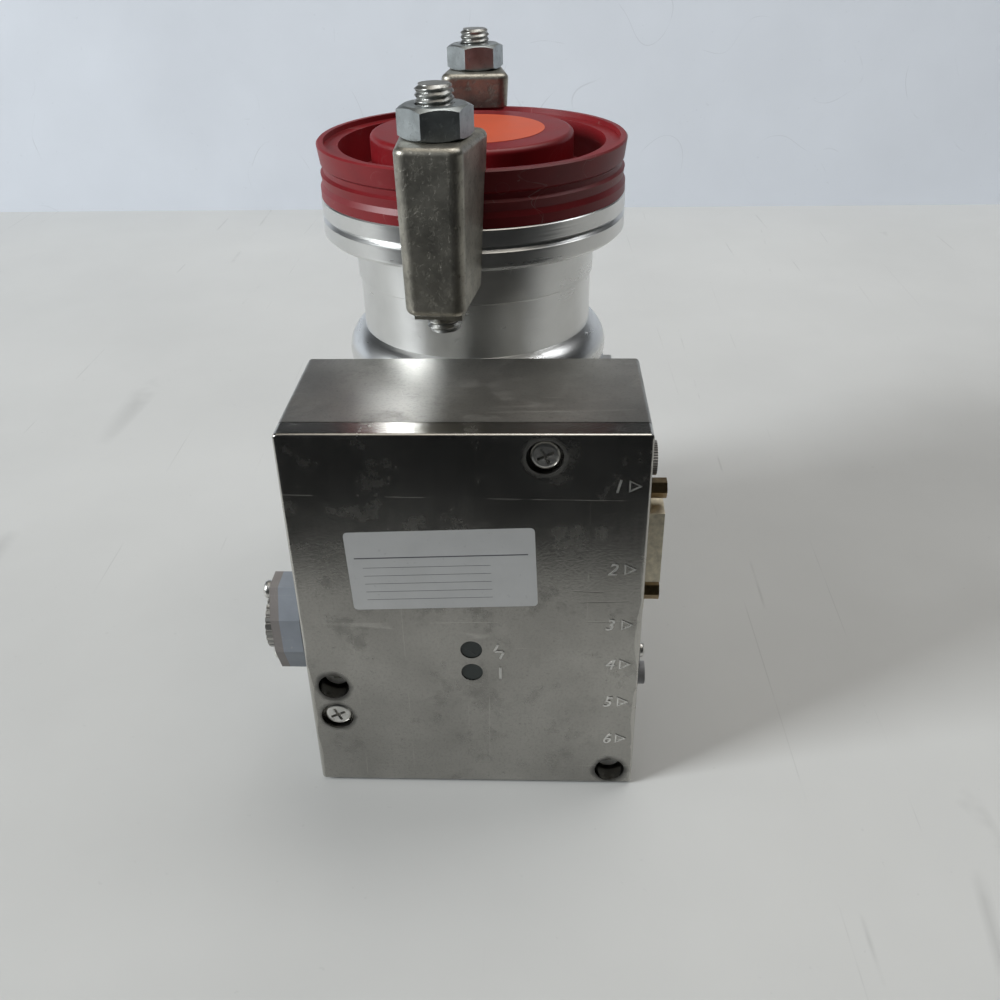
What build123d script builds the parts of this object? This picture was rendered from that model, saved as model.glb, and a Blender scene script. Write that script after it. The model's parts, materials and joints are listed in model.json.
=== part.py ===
"""Turbomolecular pump with a DN 63 ISO-K inlet and a bolted drive unit.

Millimetres, +Z up. The origin is on the pump's axis, in the plane of its base.
The drive unit's lid faces -Y, the fore-vacuum port faces +Y.
"""
from math import cos, radians, sin, tan
from build123d import *
import os

os.makedirs("parts", exist_ok=True)

# ---- Overall sizes ----
pump_height = 153.2  # base to inlet flange face
joint_height = 96.0  # base to the joint between casing and lower housing
seat_fit = 0.05  # radial gap between pieces that are seated in each other
casing_bore = 33.0

# ---- Inlet flange and casing ----
flange_land = 14.5  # from the bore to the flange's edge
flange_radius = casing_bore + flange_land
flange_thickness = 12.2
flange_bottom = pump_height - flange_thickness
flange_chamfer = 1.2
flange_groove_width = 2.0
flange_groove_depth = 0.9
centring_radius = casing_bore + 2.0
centring_depth = 3.0
inlet_radius = casing_bore - 1.0
inlet_lip = 3.0
casing_wall = 4.3
neck_radius = casing_bore + casing_wall
collar_radius = neck_radius + 0.7
collar_length = 13.4
bead_top = 14.8  # above the joint
bead_middle = 8.0  # above the joint
bead_radius = neck_radius + 5.4
bead_foot_radius = neck_radius + 3.3
seal_half = 0.65  # half the casing seal's width and height
seal_circle = casing_bore + 1.7
seal_gap = 0.15  # on each side of a seal in its groove

# ---- Lower housing ----
housing_radius = bead_foot_radius - 0.3
spigot_height = 2.0
drag_bore = casing_bore - 2.5
drag_floor = 62.0
chamber_width = 5.6
chamber_outer = drag_bore - 0.9
chamber_inner = chamber_outer - chamber_width
chamber_floor = 38.0
base_chamfer = 1.0

# ---- Casing screws ----
casing_screw_count = 4
casing_screw_circle = housing_radius - 2.4
casing_screw_radius = 1.2
casing_thread_radius = casing_screw_radius + seat_fit
casing_screw_head = 2.1
casing_screw_head_height = 2.4
casing_screw_hex = 2.5
casing_screw_socket = 1.4
casing_screw_ledge = 6.0
casing_screw_grip = 7.0
casing_slot_half = 2.6
casing_slot_height = 16.0

# ---- Fore-vacuum port, DN 16 KF ----
port_height = 50.0
port_bore = 8.0
port_pipe_radius = 10.0
port_flange_radius = 15.0
port_flange_rim = 2.0
port_flange_cone = 15.0  # degrees
port_face = housing_radius + 21.7
port_pipe_seat = 4.3  # depth of the pipe's seat in the housing's wall
port_seat_radius = 8.6
port_seat_depth = 2.8

# ---- Vent boss on the right ----
vent_height = 88.0
vent_boss_radius = 13.0
vent_boss_face = housing_radius + 2.4
vent_thread_radius = 4.9
vent_thread_length = 8.0
vent_bore_radius = 2.0
vent_plug_hex = 13.0
vent_plug_height = 3.0

# ---- Base ----
base_hole_circle = housing_radius - 7.3
base_hole_radius = 2.1
base_hole_depth = 12.0
reservoir_radius = 15.5
cover_radius = 24.0
cover_recess = 0.5
cover_thickness = 3.5
cover_screw_circle = 20.0
cover_screw_head = 2.75
cover_screw_head_height = 2.0
cover_screw_radius = 1.2
cover_screw_length = 8.0
cover_seal_circle = reservoir_radius + 1.4
cover_seal_half = 0.75  # half the cover seal's width and height

# ---- Shaft and ball bearing ----
shaft_radius = 4.0
shaft_bottom = 9.0
bearing_low = 14.0
bearing_width = 7.0
bearing_outer = 11.0
ball_radius = 1.98
ball_circle = (shaft_radius + bearing_outer) / 2
bearing_outer_shoulder = ball_circle + 1.6
bearing_inner_shoulder = ball_circle - 1.6
ball_count = 7
race_gap = 0.07
cage_half_height = 1.5
cage_half_width = 0.7
cage_pocket_gap = 0.1
damper_thickness = 2.4
shaft_collar_radius = shaft_radius + 1.4
shaft_collar_height = 4.0
shaft_tunnel = shaft_radius + 4.6
shaft_nut_radius = shaft_radius + 2.8
shaft_nut_tip = shaft_radius + 1.2
nut_gap = 0.05

# ---- Rotor stages ----
stage_count = 5
stage_pitch = 8.6
first_stage = pump_height - 11.0
first_stage_lift = 0.6
hub_radius = 14.5
stator_rim_inner = casing_bore - 2.2
rotor_tip = stator_rim_inner - 0.6
rotor_blade_heights = [5.2, 4.0, 4.0, 3.6, 3.6]
rotor_blade_angles = [40, 34, 30, 25, 22]
rotor_blade_counts = [18, 20, 22, 24, 24]
rotor_blade_thickness = 1.0
blade_root_sink = 1.3
magnet_well_radius = 8.2
magnet_well_depth = 17.6
shaft_engagement = 24.0
skirt_disc_height = 2.8

# ---- Stator discs and spacer rings ----
stator_blade_height = 3.0
stator_blade_angle = 30
stator_blade_count = 22
stator_blade_thickness = 0.9
stator_core_inner = hub_radius + 1.3
stator_core_outer = stator_core_inner + 1.2
stator_core_height = 1.0
stator_split = 0.3
ring_fit = 0.1

# ---- Upper magnetic bearing ----
star_ring_height = 1.8
star_arm_width = 4.0
star_arm_count = 3
star_hub_radius = 6.0
star_hub_rise = 2.6
star_pin_radius = 2.1
fixed_magnet_outer = 5.0
turning_magnet_inner = 5.7
magnet_length = 12.0
screen_thickness = 0.8
screen_wire = 1.2
screen_rings = 4
screen_spokes = 8

# ---- Drag stage and motor ----
drag_stator_inner = drag_bore - 2.5
sleeve_outer = drag_stator_inner - 0.5
sleeve_inner = sleeve_outer - 1.1
sleeve_foot = drag_floor + 1.2
skirt_disc_radius = sleeve_inner - seat_fit
drag_core_outer = sleeve_inner - 0.4
drag_core_inner = 19.2
drag_core_height = 34.0
motor_low = 69.0
motor_stack = 20.0
motor_slots = 6
motor_magnet_radius = shaft_radius + 4.6
motor_bore = motor_magnet_radius + 1.9
coil_inner = motor_bore + 1.3
coil_outer = coil_inner + 6.4
coil_height = 4.6

# ---- Transit cap ----
cap_height = 15.8
cap_rim_outer = flange_radius
cap_rim_inner = cap_rim_outer - 2.3
cap_ledge_drop = 1.5
cap_ledge_inner = cap_rim_outer - 6.5
cap_band_radius = cap_rim_outer - 0.2
cap_waist_radius = cap_rim_outer - 0.9
cap_shoulder_radius = cap_rim_outer - 0.5
cap_notch_radius = cap_rim_outer - 1.4
cap_band_height = 2.8
cap_waist_height = 4.4
cap_notch_height = 7.6
cap_notch_width = 1.6
cap_notch_slant = 0.7
cap_wall = 3.0
cap_boss_radius = cap_rim_outer - 16.3
cap_boss_rise = 1.6
cap_boss_flare = 1.0
cap_boss_round = 1.6
cap_spigot_radius = centring_radius - 0.4
cap_spigot_depth = 2.0

# ---- Claw clamps ----
clamp_circle = flange_radius + 9.8
front_clamp_angle = -95.4
rear_clamp_angle = 91.8
claw_outer_face = clamp_circle + 14.2
claw_tip = flange_radius - 4.0
claw_outer_half_top = 8.5
claw_outer_half_bottom = 8.0
claw_tip_half_top = 12.0
claw_tip_half_bottom = 9.1
claw_bottom_drop = 4.4  # below the flange
claw_jaw = 10.7
claw_back_wall = 5.0
inner_claw_half = 6.5
inner_claw_gap = 0.3
claw_channel_half = inner_claw_half + inner_claw_gap
claw_flange_gap = 0.7
claw_round = 1.8
claw_foot_round = 2.0
claw_side_round = 3.5
stud_radius = 5.0
stud_hole_gap = 0.5
stud_above_nut = 4.7
stud_drop = 12.4  # below the flange
stud_chamfer = 0.3
thread_gap = 0.06
inner_claw_tip = flange_radius - 5.5
inner_claw_jaw = 4.6
inner_claw_slant = 3.0
inner_claw_rise = 9.0
inner_claw_drop = 6.8  # below the flange
nut_hex = 17.0
nut_height = 8.0
nut_chamfer = 1.1
nut_face_inset = 0.6
front_nut_angle = -77.3
rear_nut_angle = -77.5

# ---- Drive unit ----
drive_width = 94.0
drive_height = 118.6
drive_bottom = 0.8
drive_shift = 2.0  # of the drive's middle, to the right of the pump's axis
pad_stand = 1.7  # of the housing's pad, proud of the round housing
bracket_neck = 7.5
bracket_plate = 8.0
pad_front = -housing_radius - pad_stand
plate_back = pad_front - bracket_neck
drive_back = plate_back - bracket_plate
drive_top = drive_bottom + drive_height
side_x = drive_width / 2
case_depth = 39.5
case_front = drive_back - case_depth
lid_thickness = 6.6
lid_seal_thickness = 0.4
lid_seal_inset = 0.6
lid_seal_width = 1.6
case_wall = 3.0
case_round = 1.2
lid_round = 0.8
lid_pocket = 3.4
lid_rim = 4.0
screw_column = 5.6
left_screw_inset = 7.2
right_screw_inset = 6.7
pan_screws = [(side_x - 26.6, drive_top - 6.4), (left_screw_inset - side_x, drive_bottom + 25.7)]
socket_screws = [
    (left_screw_inset - side_x, drive_bottom + 37.0),
    (side_x - right_screw_inset, drive_bottom + 5.3),
]
screw_radius = 2.0
screw_clearance = 2.3
screw_thread = 2.05
pan_well = 4.75
pan_head = 4.0
pan_head_height = 2.6
pan_well_depth = 3.4
pan_slot = 0.8
socket_well = 4.4
socket_head = 3.5
socket_head_height = 4.0
socket_well_depth = 5.4
socket_hex = 3.0
socket_floor = 2.0  # of metal under the hexagon
drive_screw_end = 0.6  # short of the bracket's back
window_radius = 3.05
window_places = [(0.2, drive_bottom + 51.2), (0.2, drive_bottom + 43.1)]
window_recess = 0.3

# ---- Ports in the drive's right side ----
port_line = case_front + 7.0
remote_height = drive_top - 39.7
relay_place = (case_front + 6.0, drive_bottom + 32.5)
port_gap = 0.1  # round a connector in its opening
wall_port_bore = 3.4
wall_port_recess = 3.0
wall_ports = [  # depth, height, radius and how far it stands out
    (case_front + 8.0, drive_top - 14.4, 4.6, 2.5),
    (case_front + 23.0, drive_bottom + 60.5, 5.0, 0.6),
    (case_front + 23.0, drive_bottom + 18.4, 5.0, 0.6),
]
remote_flange = (12.5, 39.2, 1.0)
remote_shell = (8.4, 25.0, 5.3)
remote_shell_wall = 0.5
remote_slant = 80.0
remote_screw_spacing = 33.3
remote_hex = 4.76
remote_hex_length = 4.7
remote_hex_bore = 1.4
remote_hex_bore_depth = 4.2
remote_shank_radius = 1.6
remote_row_pitch = 2.84
remote_pin_pitch = 2.77
remote_contact_radius = 0.55
relay_collar_radius = 3.4
relay_collar_rise = 3.2
relay_bore_radius = 2.4
relay_lug_height = 8.7
relay_lug_width = 6.8
relay_lug_rise = 1.3
small_screw_head = 2.2
small_screw_head_height = 1.3
small_screw_radius = 1.2
small_screw_length = 4.6
small_screw_slot = (2.8, 0.6, 0.8)

# ---- Power connector in the drive's left side ----
power_place = (case_front + 11.0, drive_bottom + 47.2)
power_depth = 16.0
power_height = 29.5
power_corner_depth = 4.0
power_corner_height = 9.0
power_gasket_inset = 0.4
power_gasket_thickness = 3.0
power_base_thickness = 5.9
power_ring_thickness = 2.5
power_disc_radius = 8.0
power_disc_thickness = 2.0
power_disc_notches = 24
power_notch_radius = 0.5
power_disc_bore = 5.4
power_screw_offset = 11.2
power_screw_head = 2.8
power_screw_rise = 2.6
power_screw_radius = 1.25
power_spigot_radius = 6.6
power_spigot_depth = 2.5
power_contact_radius = 0.8
power_contact_circle = 3.8
power_well_depth = 8.0
power_contact_count = 4
power_contact_length = 7.0
wall_screw_place = (case_front + 6.0, drive_bottom + 26.2)

# ---- Drive interior and its bolting to the pump ----
board_size = (drive_width - 24.0, 70.0, 1.6)
board_centre = (4.0, drive_bottom + 61.2)
board_standoff = 6.0
board_standoff_radius = 2.8
board_margin = 4.0
capacitor_radius = 7.5
capacitor_length = 20.0
capacitor_places = [(-20.0, -20.0), (-2.0, -20.0), (-22.0, 22.0)]  # from the board's middle
transistor_size = (10.0, 15.0, 4.6)
transistor_places = [(4.0, 22.0), (16.0, 22.0)]  # from the board's middle
bracket_side_inset = 1.5
bracket_plate_height = 46.0
pad_half = 22.0
pad_height = 88.0
plug_half = 9.2
plug_height = 19.6
plug_centre = drive_bottom + 69.2
plug_depth = 6.0
plug_gap = 0.2
plug_flange_margin = 2.4
plug_flange_thickness = 2.4


def save(piece, name):
    piece.label = name
    export_step(piece, f"parts/{name}.step")


def front_plane(y):
    """The drive unit's sketch plane at a depth y; extrusions go forwards."""
    return Plane(origin=(drive_shift, y, 0), x_dir=(1, 0, 0), z_dir=(0, -1, 0))


def right_plane(x):
    """A plane across the drive unit, x to the right of its middle; extrusions go right."""
    return Plane.YZ.offset(drive_shift + x)


def left_plane(distance):
    """A plane outside the drive's left side; extrusions go left, and z is turned over."""
    return Plane(origin=(drive_shift - side_x - distance, 0, 0), x_dir=(0, 1, 0), z_dir=(-1, 0, 0))


def back_plane(y):
    """A sketch plane facing the back, at a depth y; extrusions go backwards."""
    return Plane(origin=(0, y, 0), x_dir=(-1, 0, 0), z_dir=(0, 1, 0))


def ring(inner, outer, low, high):
    """A plain ring, or a disc where inner is 0, between two heights."""
    with BuildPart() as body:
        with BuildSketch(Plane.XY.offset(low)):
            Circle(outer)
            if inner:
                Circle(inner, mode=Mode.SUBTRACT)
        extrude(amount=high - low)
    return body.part


# ================= Upper casing =================
groove_middle = flange_bottom + flange_thickness / 2 + 0.3
with BuildPart() as upper_casing:
    with BuildSketch(Plane.XZ):
        with BuildLine():
            ThreePointArc(
                (bead_foot_radius, joint_height),
                (bead_radius, joint_height + bead_middle),
                (neck_radius, joint_height + bead_top),
            )
            Polyline(
                (neck_radius, joint_height + bead_top),
                (neck_radius, flange_bottom - collar_length),
                (collar_radius, flange_bottom - collar_length + 0.5),
                (collar_radius, flange_bottom),
                (flange_radius - flange_chamfer, flange_bottom),
                (flange_radius, flange_bottom + flange_chamfer),
                (flange_radius, groove_middle - flange_groove_width / 2),
                (flange_radius - flange_groove_depth, groove_middle),
                (flange_radius, groove_middle + flange_groove_width / 2),
                (flange_radius, pump_height - 0.4),
                (flange_radius - 0.4, pump_height),
                (centring_radius, pump_height),
                (centring_radius, pump_height - centring_depth),
                (inlet_radius, pump_height - centring_depth),
                (inlet_radius, pump_height - centring_depth - inlet_lip),
                (casing_bore, pump_height - centring_depth - inlet_lip),
                (casing_bore, joint_height),
                (bead_foot_radius, joint_height),
            )
        make_face()
    revolve(axis=Axis.Z)
    with BuildSketch(Plane.XY.offset(joint_height)):
        with PolarLocations(casing_screw_circle, casing_screw_count, start_angle=45):
            Circle(casing_thread_radius)
    extrude(amount=casing_screw_grip + 1, mode=Mode.SUBTRACT)
save(upper_casing.part, "upper_casing")

casing_seal = ring(
    seal_circle - seal_half,
    seal_circle + seal_half,
    joint_height - 2 * seal_half,
    joint_height,
)
save(casing_seal, "casing_seal")

# ================= Lower housing =================
cover_seat = cover_recess + cover_thickness
bearing_top = bearing_low + bearing_width
damper_outer = bearing_outer + seat_fit + damper_thickness
casing_ledge_low = joint_height - casing_screw_ledge
port_pipe_start = housing_radius - port_pipe_seat
port_cone_run = (port_flange_radius - port_pipe_radius) * tan(radians(port_flange_cone))
with BuildPart() as lower_housing:
    with BuildSketch(Plane.XZ):
        with BuildLine():
            Polyline(
                (0, 0),
                (housing_radius - base_chamfer, 0),
                (housing_radius, base_chamfer),
                (housing_radius, joint_height),
                (casing_bore - seat_fit, joint_height),
                (casing_bore - seat_fit, joint_height + spigot_height),
                (0, joint_height + spigot_height),
                close=True,
            )
        make_face()
    revolve(axis=Axis.Z)
    # Vent boss on the right.
    with BuildSketch(Plane.YZ.offset(housing_radius - 8)):
        with Locations((0, vent_height)):
            Circle(vent_boss_radius)
    extrude(amount=vent_boss_face - housing_radius + 8)
    with BuildSketch(Plane.XY.offset(joint_height)):
        Circle(bead_radius + 5)
        Circle(casing_bore - seat_fit, mode=Mode.SUBTRACT)
    extrude(amount=vent_boss_radius, mode=Mode.SUBTRACT)
    with BuildSketch(Plane.XY.offset(joint_height + spigot_height)):
        Circle(bead_radius + 5)
    extrude(amount=vent_boss_radius, mode=Mode.SUBTRACT)
    # Flat pad for the drive unit's bracket.
    with BuildSketch(Plane.XY.offset(drive_bottom)):
        with Locations((0, pad_front)):
            Rectangle(2 * pad_half, chamber_outer, align=(Align.CENTER, Align.MIN))
    extrude(amount=pad_height)
    # Stepped bore, from the top down to the base.
    for radius, low, high in (
        (drag_bore, drag_floor, joint_height + spigot_height),
        (drag_core_inner, drag_floor - 5, drag_floor),
        (shaft_tunnel, bearing_top, drag_floor),
        (damper_outer + seat_fit, bearing_low, bearing_top),
        (reservoir_radius, cover_seat, bearing_low),
        (cover_radius + ring_fit, 0, cover_seat),
    ):
        with BuildSketch(Plane.XY.offset(low)):
            Circle(radius)
        extrude(amount=high - low, mode=Mode.SUBTRACT)
    # Collecting chamber below the drag stage.
    with BuildSketch(Plane.XY.offset(chamber_floor)):
        Circle(chamber_outer)
        Circle(chamber_inner, mode=Mode.SUBTRACT)
    extrude(amount=drag_floor - chamber_floor, mode=Mode.SUBTRACT)
    # Seat of the fore-vacuum pipe, and its bore on into the chamber.
    with BuildSketch(back_plane(port_pipe_start)):
        with Locations((0, port_height)):
            Circle(port_pipe_radius + seat_fit)
    extrude(amount=2 * port_pipe_seat, mode=Mode.SUBTRACT)
    with BuildSketch(back_plane(chamber_inner + 2)):
        with Locations((0, port_height)):
            Circle(port_bore)
    extrude(amount=port_pipe_start - chamber_inner, mode=Mode.SUBTRACT)
    # Groove for the casing seal.
    with BuildSketch(Plane.XY.offset(joint_height)):
        Circle(seal_circle + seal_half + seal_gap)
        Circle(seal_circle - seal_half - seal_gap, mode=Mode.SUBTRACT)
    extrude(amount=-2 * seal_half, mode=Mode.SUBTRACT)
    # Vent bore.
    with BuildSketch(Plane.YZ.offset(drag_bore - 1)):
        with Locations((0, vent_height)):
            Circle(vent_bore_radius)
    extrude(amount=vent_boss_face, mode=Mode.SUBTRACT)
    with BuildSketch(Plane.YZ.offset(vent_boss_face - vent_thread_length)):
        with Locations((0, vent_height)):
            Circle(vent_thread_radius)
    extrude(amount=vent_thread_length + 1, mode=Mode.SUBTRACT)
    # Casing screws: clearance holes, and slots for the heads that open outwards.
    with BuildSketch(Plane.XY.offset(casing_ledge_low)):
        with PolarLocations(casing_screw_circle, casing_screw_count, start_angle=45):
            Circle(casing_screw_radius + 0.4)
    extrude(amount=casing_screw_ledge, mode=Mode.SUBTRACT)
    with BuildSketch(Plane.XY.offset(casing_ledge_low - casing_slot_height)):
        with PolarLocations(casing_screw_circle, casing_screw_count, start_angle=45):
            Circle(casing_slot_half)
            Rectangle(12, 2 * casing_slot_half, align=(Align.MIN, Align.CENTER))
    extrude(amount=casing_slot_height, mode=Mode.SUBTRACT)
    # Threaded holes in the base, for the cover and for mounting the pump.
    with BuildSketch(Plane.XY):
        with PolarLocations(base_hole_circle, 4, start_angle=45):
            Circle(base_hole_radius)
    extrude(amount=base_hole_depth, mode=Mode.SUBTRACT)
    with BuildSketch(Plane.XY.offset(cover_seat)):
        with PolarLocations(cover_screw_circle, 4):
            Circle(cover_screw_radius + seat_fit)
    extrude(amount=cover_screw_length, mode=Mode.SUBTRACT)
    with BuildSketch(Plane.XY.offset(cover_seat)):
        Circle(cover_seal_circle + cover_seal_half + seal_gap)
        Circle(cover_seal_circle - cover_seal_half - seal_gap, mode=Mode.SUBTRACT)
    extrude(amount=2 * cover_seal_half, mode=Mode.SUBTRACT)
save(lower_housing.part, "lower_housing")

# ================= Fore-vacuum flange =================
with BuildPart() as fore_vacuum_flange:
    with BuildSketch(Plane.XY.offset(port_height)):
        with BuildLine():
            Polyline(
                (port_bore, port_pipe_start),
                (port_pipe_radius, port_pipe_start),
                (port_pipe_radius, port_face - port_flange_rim - port_cone_run),
                (port_flange_radius, port_face - port_flange_rim),
                (port_flange_radius, port_face),
                (port_seat_radius, port_face),
                (port_seat_radius, port_face - port_seat_depth),
                (port_bore, port_face - port_seat_depth),
                close=True,
            )
        make_face()
    revolve(axis=Axis((0, 0, port_height), (0, 1, 0)))
save(fore_vacuum_flange.part, "fore_vacuum_flange")

# ================= Drive bracket =================
with BuildPart() as drive_bracket:
    with BuildSketch(front_plane(plate_back)):
        with Locations((0, drive_bottom)):
            Rectangle(
                drive_width - 2 * bracket_side_inset,
                bracket_plate_height,
                align=(Align.CENTER, Align.MIN),
            )
    extrude(amount=bracket_plate)
    with BuildSketch(Plane.XZ.offset(-pad_front)):
        with Locations((0, drive_bottom)):
            Rectangle(2 * pad_half, pad_height, align=(Align.CENTER, Align.MIN))
    extrude(amount=bracket_neck + bracket_plate)
    # Threads for the drive's mounting screws, and the drive plug's recess.
    with BuildSketch(front_plane(plate_back)):
        for x, z in socket_screws:
            with Locations((x, z)):
                Circle(screw_thread)
    extrude(amount=bracket_plate, mode=Mode.SUBTRACT)
    with BuildSketch(front_plane(drive_back)):
        with Locations((0, plug_centre)):
            Rectangle(2 * (plug_half + plug_gap), plug_height + 2 * plug_gap)
    extrude(amount=-plug_depth, mode=Mode.SUBTRACT)
save(drive_bracket.part, "drive_bracket")

with BuildPart() as casing_screws:
    with BuildSketch(Plane.XY.offset(casing_ledge_low - casing_screw_head_height)):
        with PolarLocations(casing_screw_circle, casing_screw_count, start_angle=45):
            Circle(casing_screw_head)
    extrude(amount=casing_screw_head_height)
    with BuildSketch(Plane.XY.offset(casing_ledge_low - casing_screw_head_height)):
        with PolarLocations(casing_screw_circle, casing_screw_count, start_angle=45):
            RegularPolygon(casing_screw_hex / 2, 6, major_radius=False)
    extrude(amount=casing_screw_socket, mode=Mode.SUBTRACT)
    with BuildSketch(Plane.XY.offset(casing_ledge_low)):
        with PolarLocations(casing_screw_circle, casing_screw_count, start_angle=45):
            Circle(casing_screw_radius)
    extrude(amount=casing_screw_ledge + casing_screw_grip)
save(casing_screws.part, "casing_screws")

# ================= Vent plug =================
with BuildPart() as vent_plug:
    with BuildSketch(Plane.YZ.offset(vent_boss_face)):
        with Locations((0, vent_height)):
            RegularPolygon(vent_plug_hex / 2, 6, major_radius=False)
    extrude(amount=vent_plug_height)
    with BuildSketch(Plane.YZ.offset(vent_boss_face - vent_thread_length)):
        with Locations((0, vent_height)):
            Circle(vent_thread_radius - seat_fit)
    extrude(amount=vent_thread_length)
    with BuildSketch(Plane.YZ.offset(vent_boss_face + vent_plug_height)):
        with Locations((0, vent_height)):
            RegularPolygon(2.5, 6, major_radius=False)
    extrude(amount=-2.4, mode=Mode.SUBTRACT)
save(vent_plug.part, "vent_plug")

# ================= Bottom cover and lubricant =================
with BuildPart() as bottom_cover:
    with BuildSketch(Plane.XY.offset(cover_recess)):
        Circle(cover_radius)
    extrude(amount=cover_thickness)
    with BuildSketch(Plane.XY.offset(cover_recess)):
        with PolarLocations(cover_screw_circle, 4):
            Circle(cover_screw_radius + 0.4)
    extrude(amount=cover_thickness, mode=Mode.SUBTRACT)
    with BuildSketch(Plane.XY.offset(cover_recess)):
        with PolarLocations(cover_screw_circle, 4):
            Circle(cover_screw_head + 0.3)
    extrude(amount=cover_screw_head_height, mode=Mode.SUBTRACT)
save(bottom_cover.part, "bottom_cover")

cover_seal = ring(
    cover_seal_circle - cover_seal_half,
    cover_seal_circle + cover_seal_half,
    cover_seat,
    cover_seat + 2 * cover_seal_half,
)
save(cover_seal, "cover_seal")

with BuildPart() as cover_screws:
    with BuildSketch(Plane.XY.offset(cover_recess)):
        with PolarLocations(cover_screw_circle, 4):
            Circle(cover_screw_head)
            RegularPolygon(1.0, 6, major_radius=False, mode=Mode.SUBTRACT)
    extrude(amount=cover_screw_head_height)
    with BuildSketch(Plane.XY.offset(cover_recess + 1.2)):
        with PolarLocations(cover_screw_circle, 4):
            Circle(cover_screw_radius)
    extrude(amount=cover_thickness - 1.2 + cover_screw_length - 1.0)
save(cover_screws.part, "cover_screws")

wick_top = bearing_low - 0.3
with BuildPart() as lubricant_wick:
    with BuildSketch(Plane.XY.offset(cover_seat)):
        Circle(reservoir_radius - 0.3)
    extrude(amount=wick_top - cover_seat)
    with BuildSketch(Plane.XY.offset(shaft_bottom - 1.2)):
        Circle(shaft_nut_radius + 0.7)
    extrude(amount=wick_top, mode=Mode.SUBTRACT)
save(lubricant_wick.part, "lubricant_wick")

# ================= Ball bearing =================
bearing_middle = bearing_low + bearing_width / 2


def race(inner, outer):
    """A bearing ring with the ball groove turned into it."""
    with BuildPart() as body:
        with BuildSketch(Plane.XZ):
            with Locations(((inner + outer) / 2, bearing_middle)):
                Rectangle(outer - inner, bearing_width)
            with Locations((ball_circle, bearing_middle)):
                Circle(ball_radius + race_gap, mode=Mode.SUBTRACT)
        revolve(axis=Axis.Z)
    return body.part


save(race(bearing_outer_shoulder, bearing_outer), "bearing_outer_ring")
save(race(shaft_radius + seat_fit / 2, bearing_inner_shoulder), "bearing_inner_ring")

with BuildPart() as bearing_balls:
    with Locations((0, 0, bearing_middle)):
        with PolarLocations(ball_circle, ball_count):
            Sphere(ball_radius)
save(bearing_balls.part, "bearing_balls")

with BuildPart() as bearing_cage:
    with BuildSketch(Plane.XY.offset(bearing_middle - cage_half_height)):
        Circle(ball_circle + cage_half_width)
        Circle(ball_circle - cage_half_width, mode=Mode.SUBTRACT)
    extrude(amount=2 * cage_half_height + 0.9)
    with Locations((0, 0, bearing_middle)):
        with PolarLocations(ball_circle, ball_count):
            Sphere(ball_radius + cage_pocket_gap, mode=Mode.SUBTRACT)
save(bearing_cage.part, "bearing_cage")

save(ring(bearing_outer + seat_fit, damper_outer, bearing_low, bearing_top), "bearing_damper")

with BuildPart() as shaft_nut:
    with BuildSketch(Plane.XZ):
        with BuildLine():
            Polyline(
                (shaft_radius + nut_gap, shaft_bottom),
                (shaft_nut_tip, shaft_bottom),
                (shaft_nut_radius, bearing_low - 1.6),
                (shaft_collar_radius, bearing_low),
                (shaft_radius + nut_gap, bearing_low),
                close=True,
            )
        make_face()
    revolve(axis=Axis.Z)
save(shaft_nut.part, "shaft_nut")

# ================= Shaft, rotor and sleeve =================
last_stage = first_stage - first_stage_lift - (stage_count - 1) * stage_pitch
skirt_low = last_stage - stage_pitch / 2 - 0.5 - skirt_disc_height / 2
skirt_top = skirt_low + skirt_disc_height
rotor_top = first_stage + rotor_blade_heights[0] / 2
shaft_top = skirt_low + shaft_engagement

with BuildPart() as shaft:
    with BuildSketch(Plane.XY.offset(shaft_bottom)):
        Circle(shaft_radius)
    extrude(amount=shaft_top - shaft_bottom)
    with BuildSketch(Plane.XY.offset(bearing_top)):
        Circle(shaft_collar_radius)
    extrude(amount=shaft_collar_height)
    chamfer(shaft.edges().filter_by(GeomType.CIRCLE).group_by(Axis.Z)[0], length=0.5)
save(shaft.part, "shaft")


def stage_middle(stage):
    """Height of a rotor stage, counted from the inlet."""
    return first_stage - (first_stage_lift if stage else 0) - stage * stage_pitch


def blade_outline(height, angle, thickness):
    """Corners of a slanted blade, cut level at its top and bottom."""
    run = height / tan(radians(angle)) / 2
    half = thickness / sin(radians(angle)) / 2
    return [
        (-run - half, -height / 2),
        (-run + half, -height / 2),
        (run + half, height / 2),
        (run - half, height / 2),
    ]


def blade(outline, start, end, mirrored):
    """One straight radial blade along +X, centred on the height 0."""
    across = Vector(0, -1 if mirrored else 1, 0)
    with BuildPart() as body:
        with BuildSketch(Plane(origin=(start, 0, 0), x_dir=(0, 1, 0), z_dir=(1, 0, 0))):
            with BuildLine():
                Polyline(*[(across.Y * x, y) for x, y in outline], close=True)
            make_face()
        extrude(amount=end - start)
    return body.part


with BuildPart() as bladed_rotor:
    with BuildSketch(Plane.XZ):
        with BuildLine():
            Polyline(
                (shaft_radius + seat_fit / 2, skirt_low),
                (skirt_disc_radius, skirt_low),
                (skirt_disc_radius, skirt_top),
                (hub_radius + 2, skirt_top),
                (hub_radius, skirt_top + 1.5),
                (hub_radius, rotor_top),
                (magnet_well_radius, rotor_top),
                (magnet_well_radius, rotor_top - magnet_well_depth),
                (shaft_radius + seat_fit / 2, rotor_top - magnet_well_depth),
                close=True,
            )
        make_face()
    revolve(axis=Axis.Z)
    for stage in range(stage_count):
        outline = blade_outline(
            rotor_blade_heights[stage], rotor_blade_angles[stage], rotor_blade_thickness
        )
        stage_blade = blade(outline, hub_radius - blade_root_sink, rotor_tip, mirrored=False)
        with Locations((0, 0, stage_middle(stage))):
            with PolarLocations(0, rotor_blade_counts[stage]):
                add(stage_blade)
save(bladed_rotor.part, "bladed_rotor")
save(ring(sleeve_inner, sleeve_outer, sleeve_foot, skirt_top), "drag_sleeve")

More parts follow.
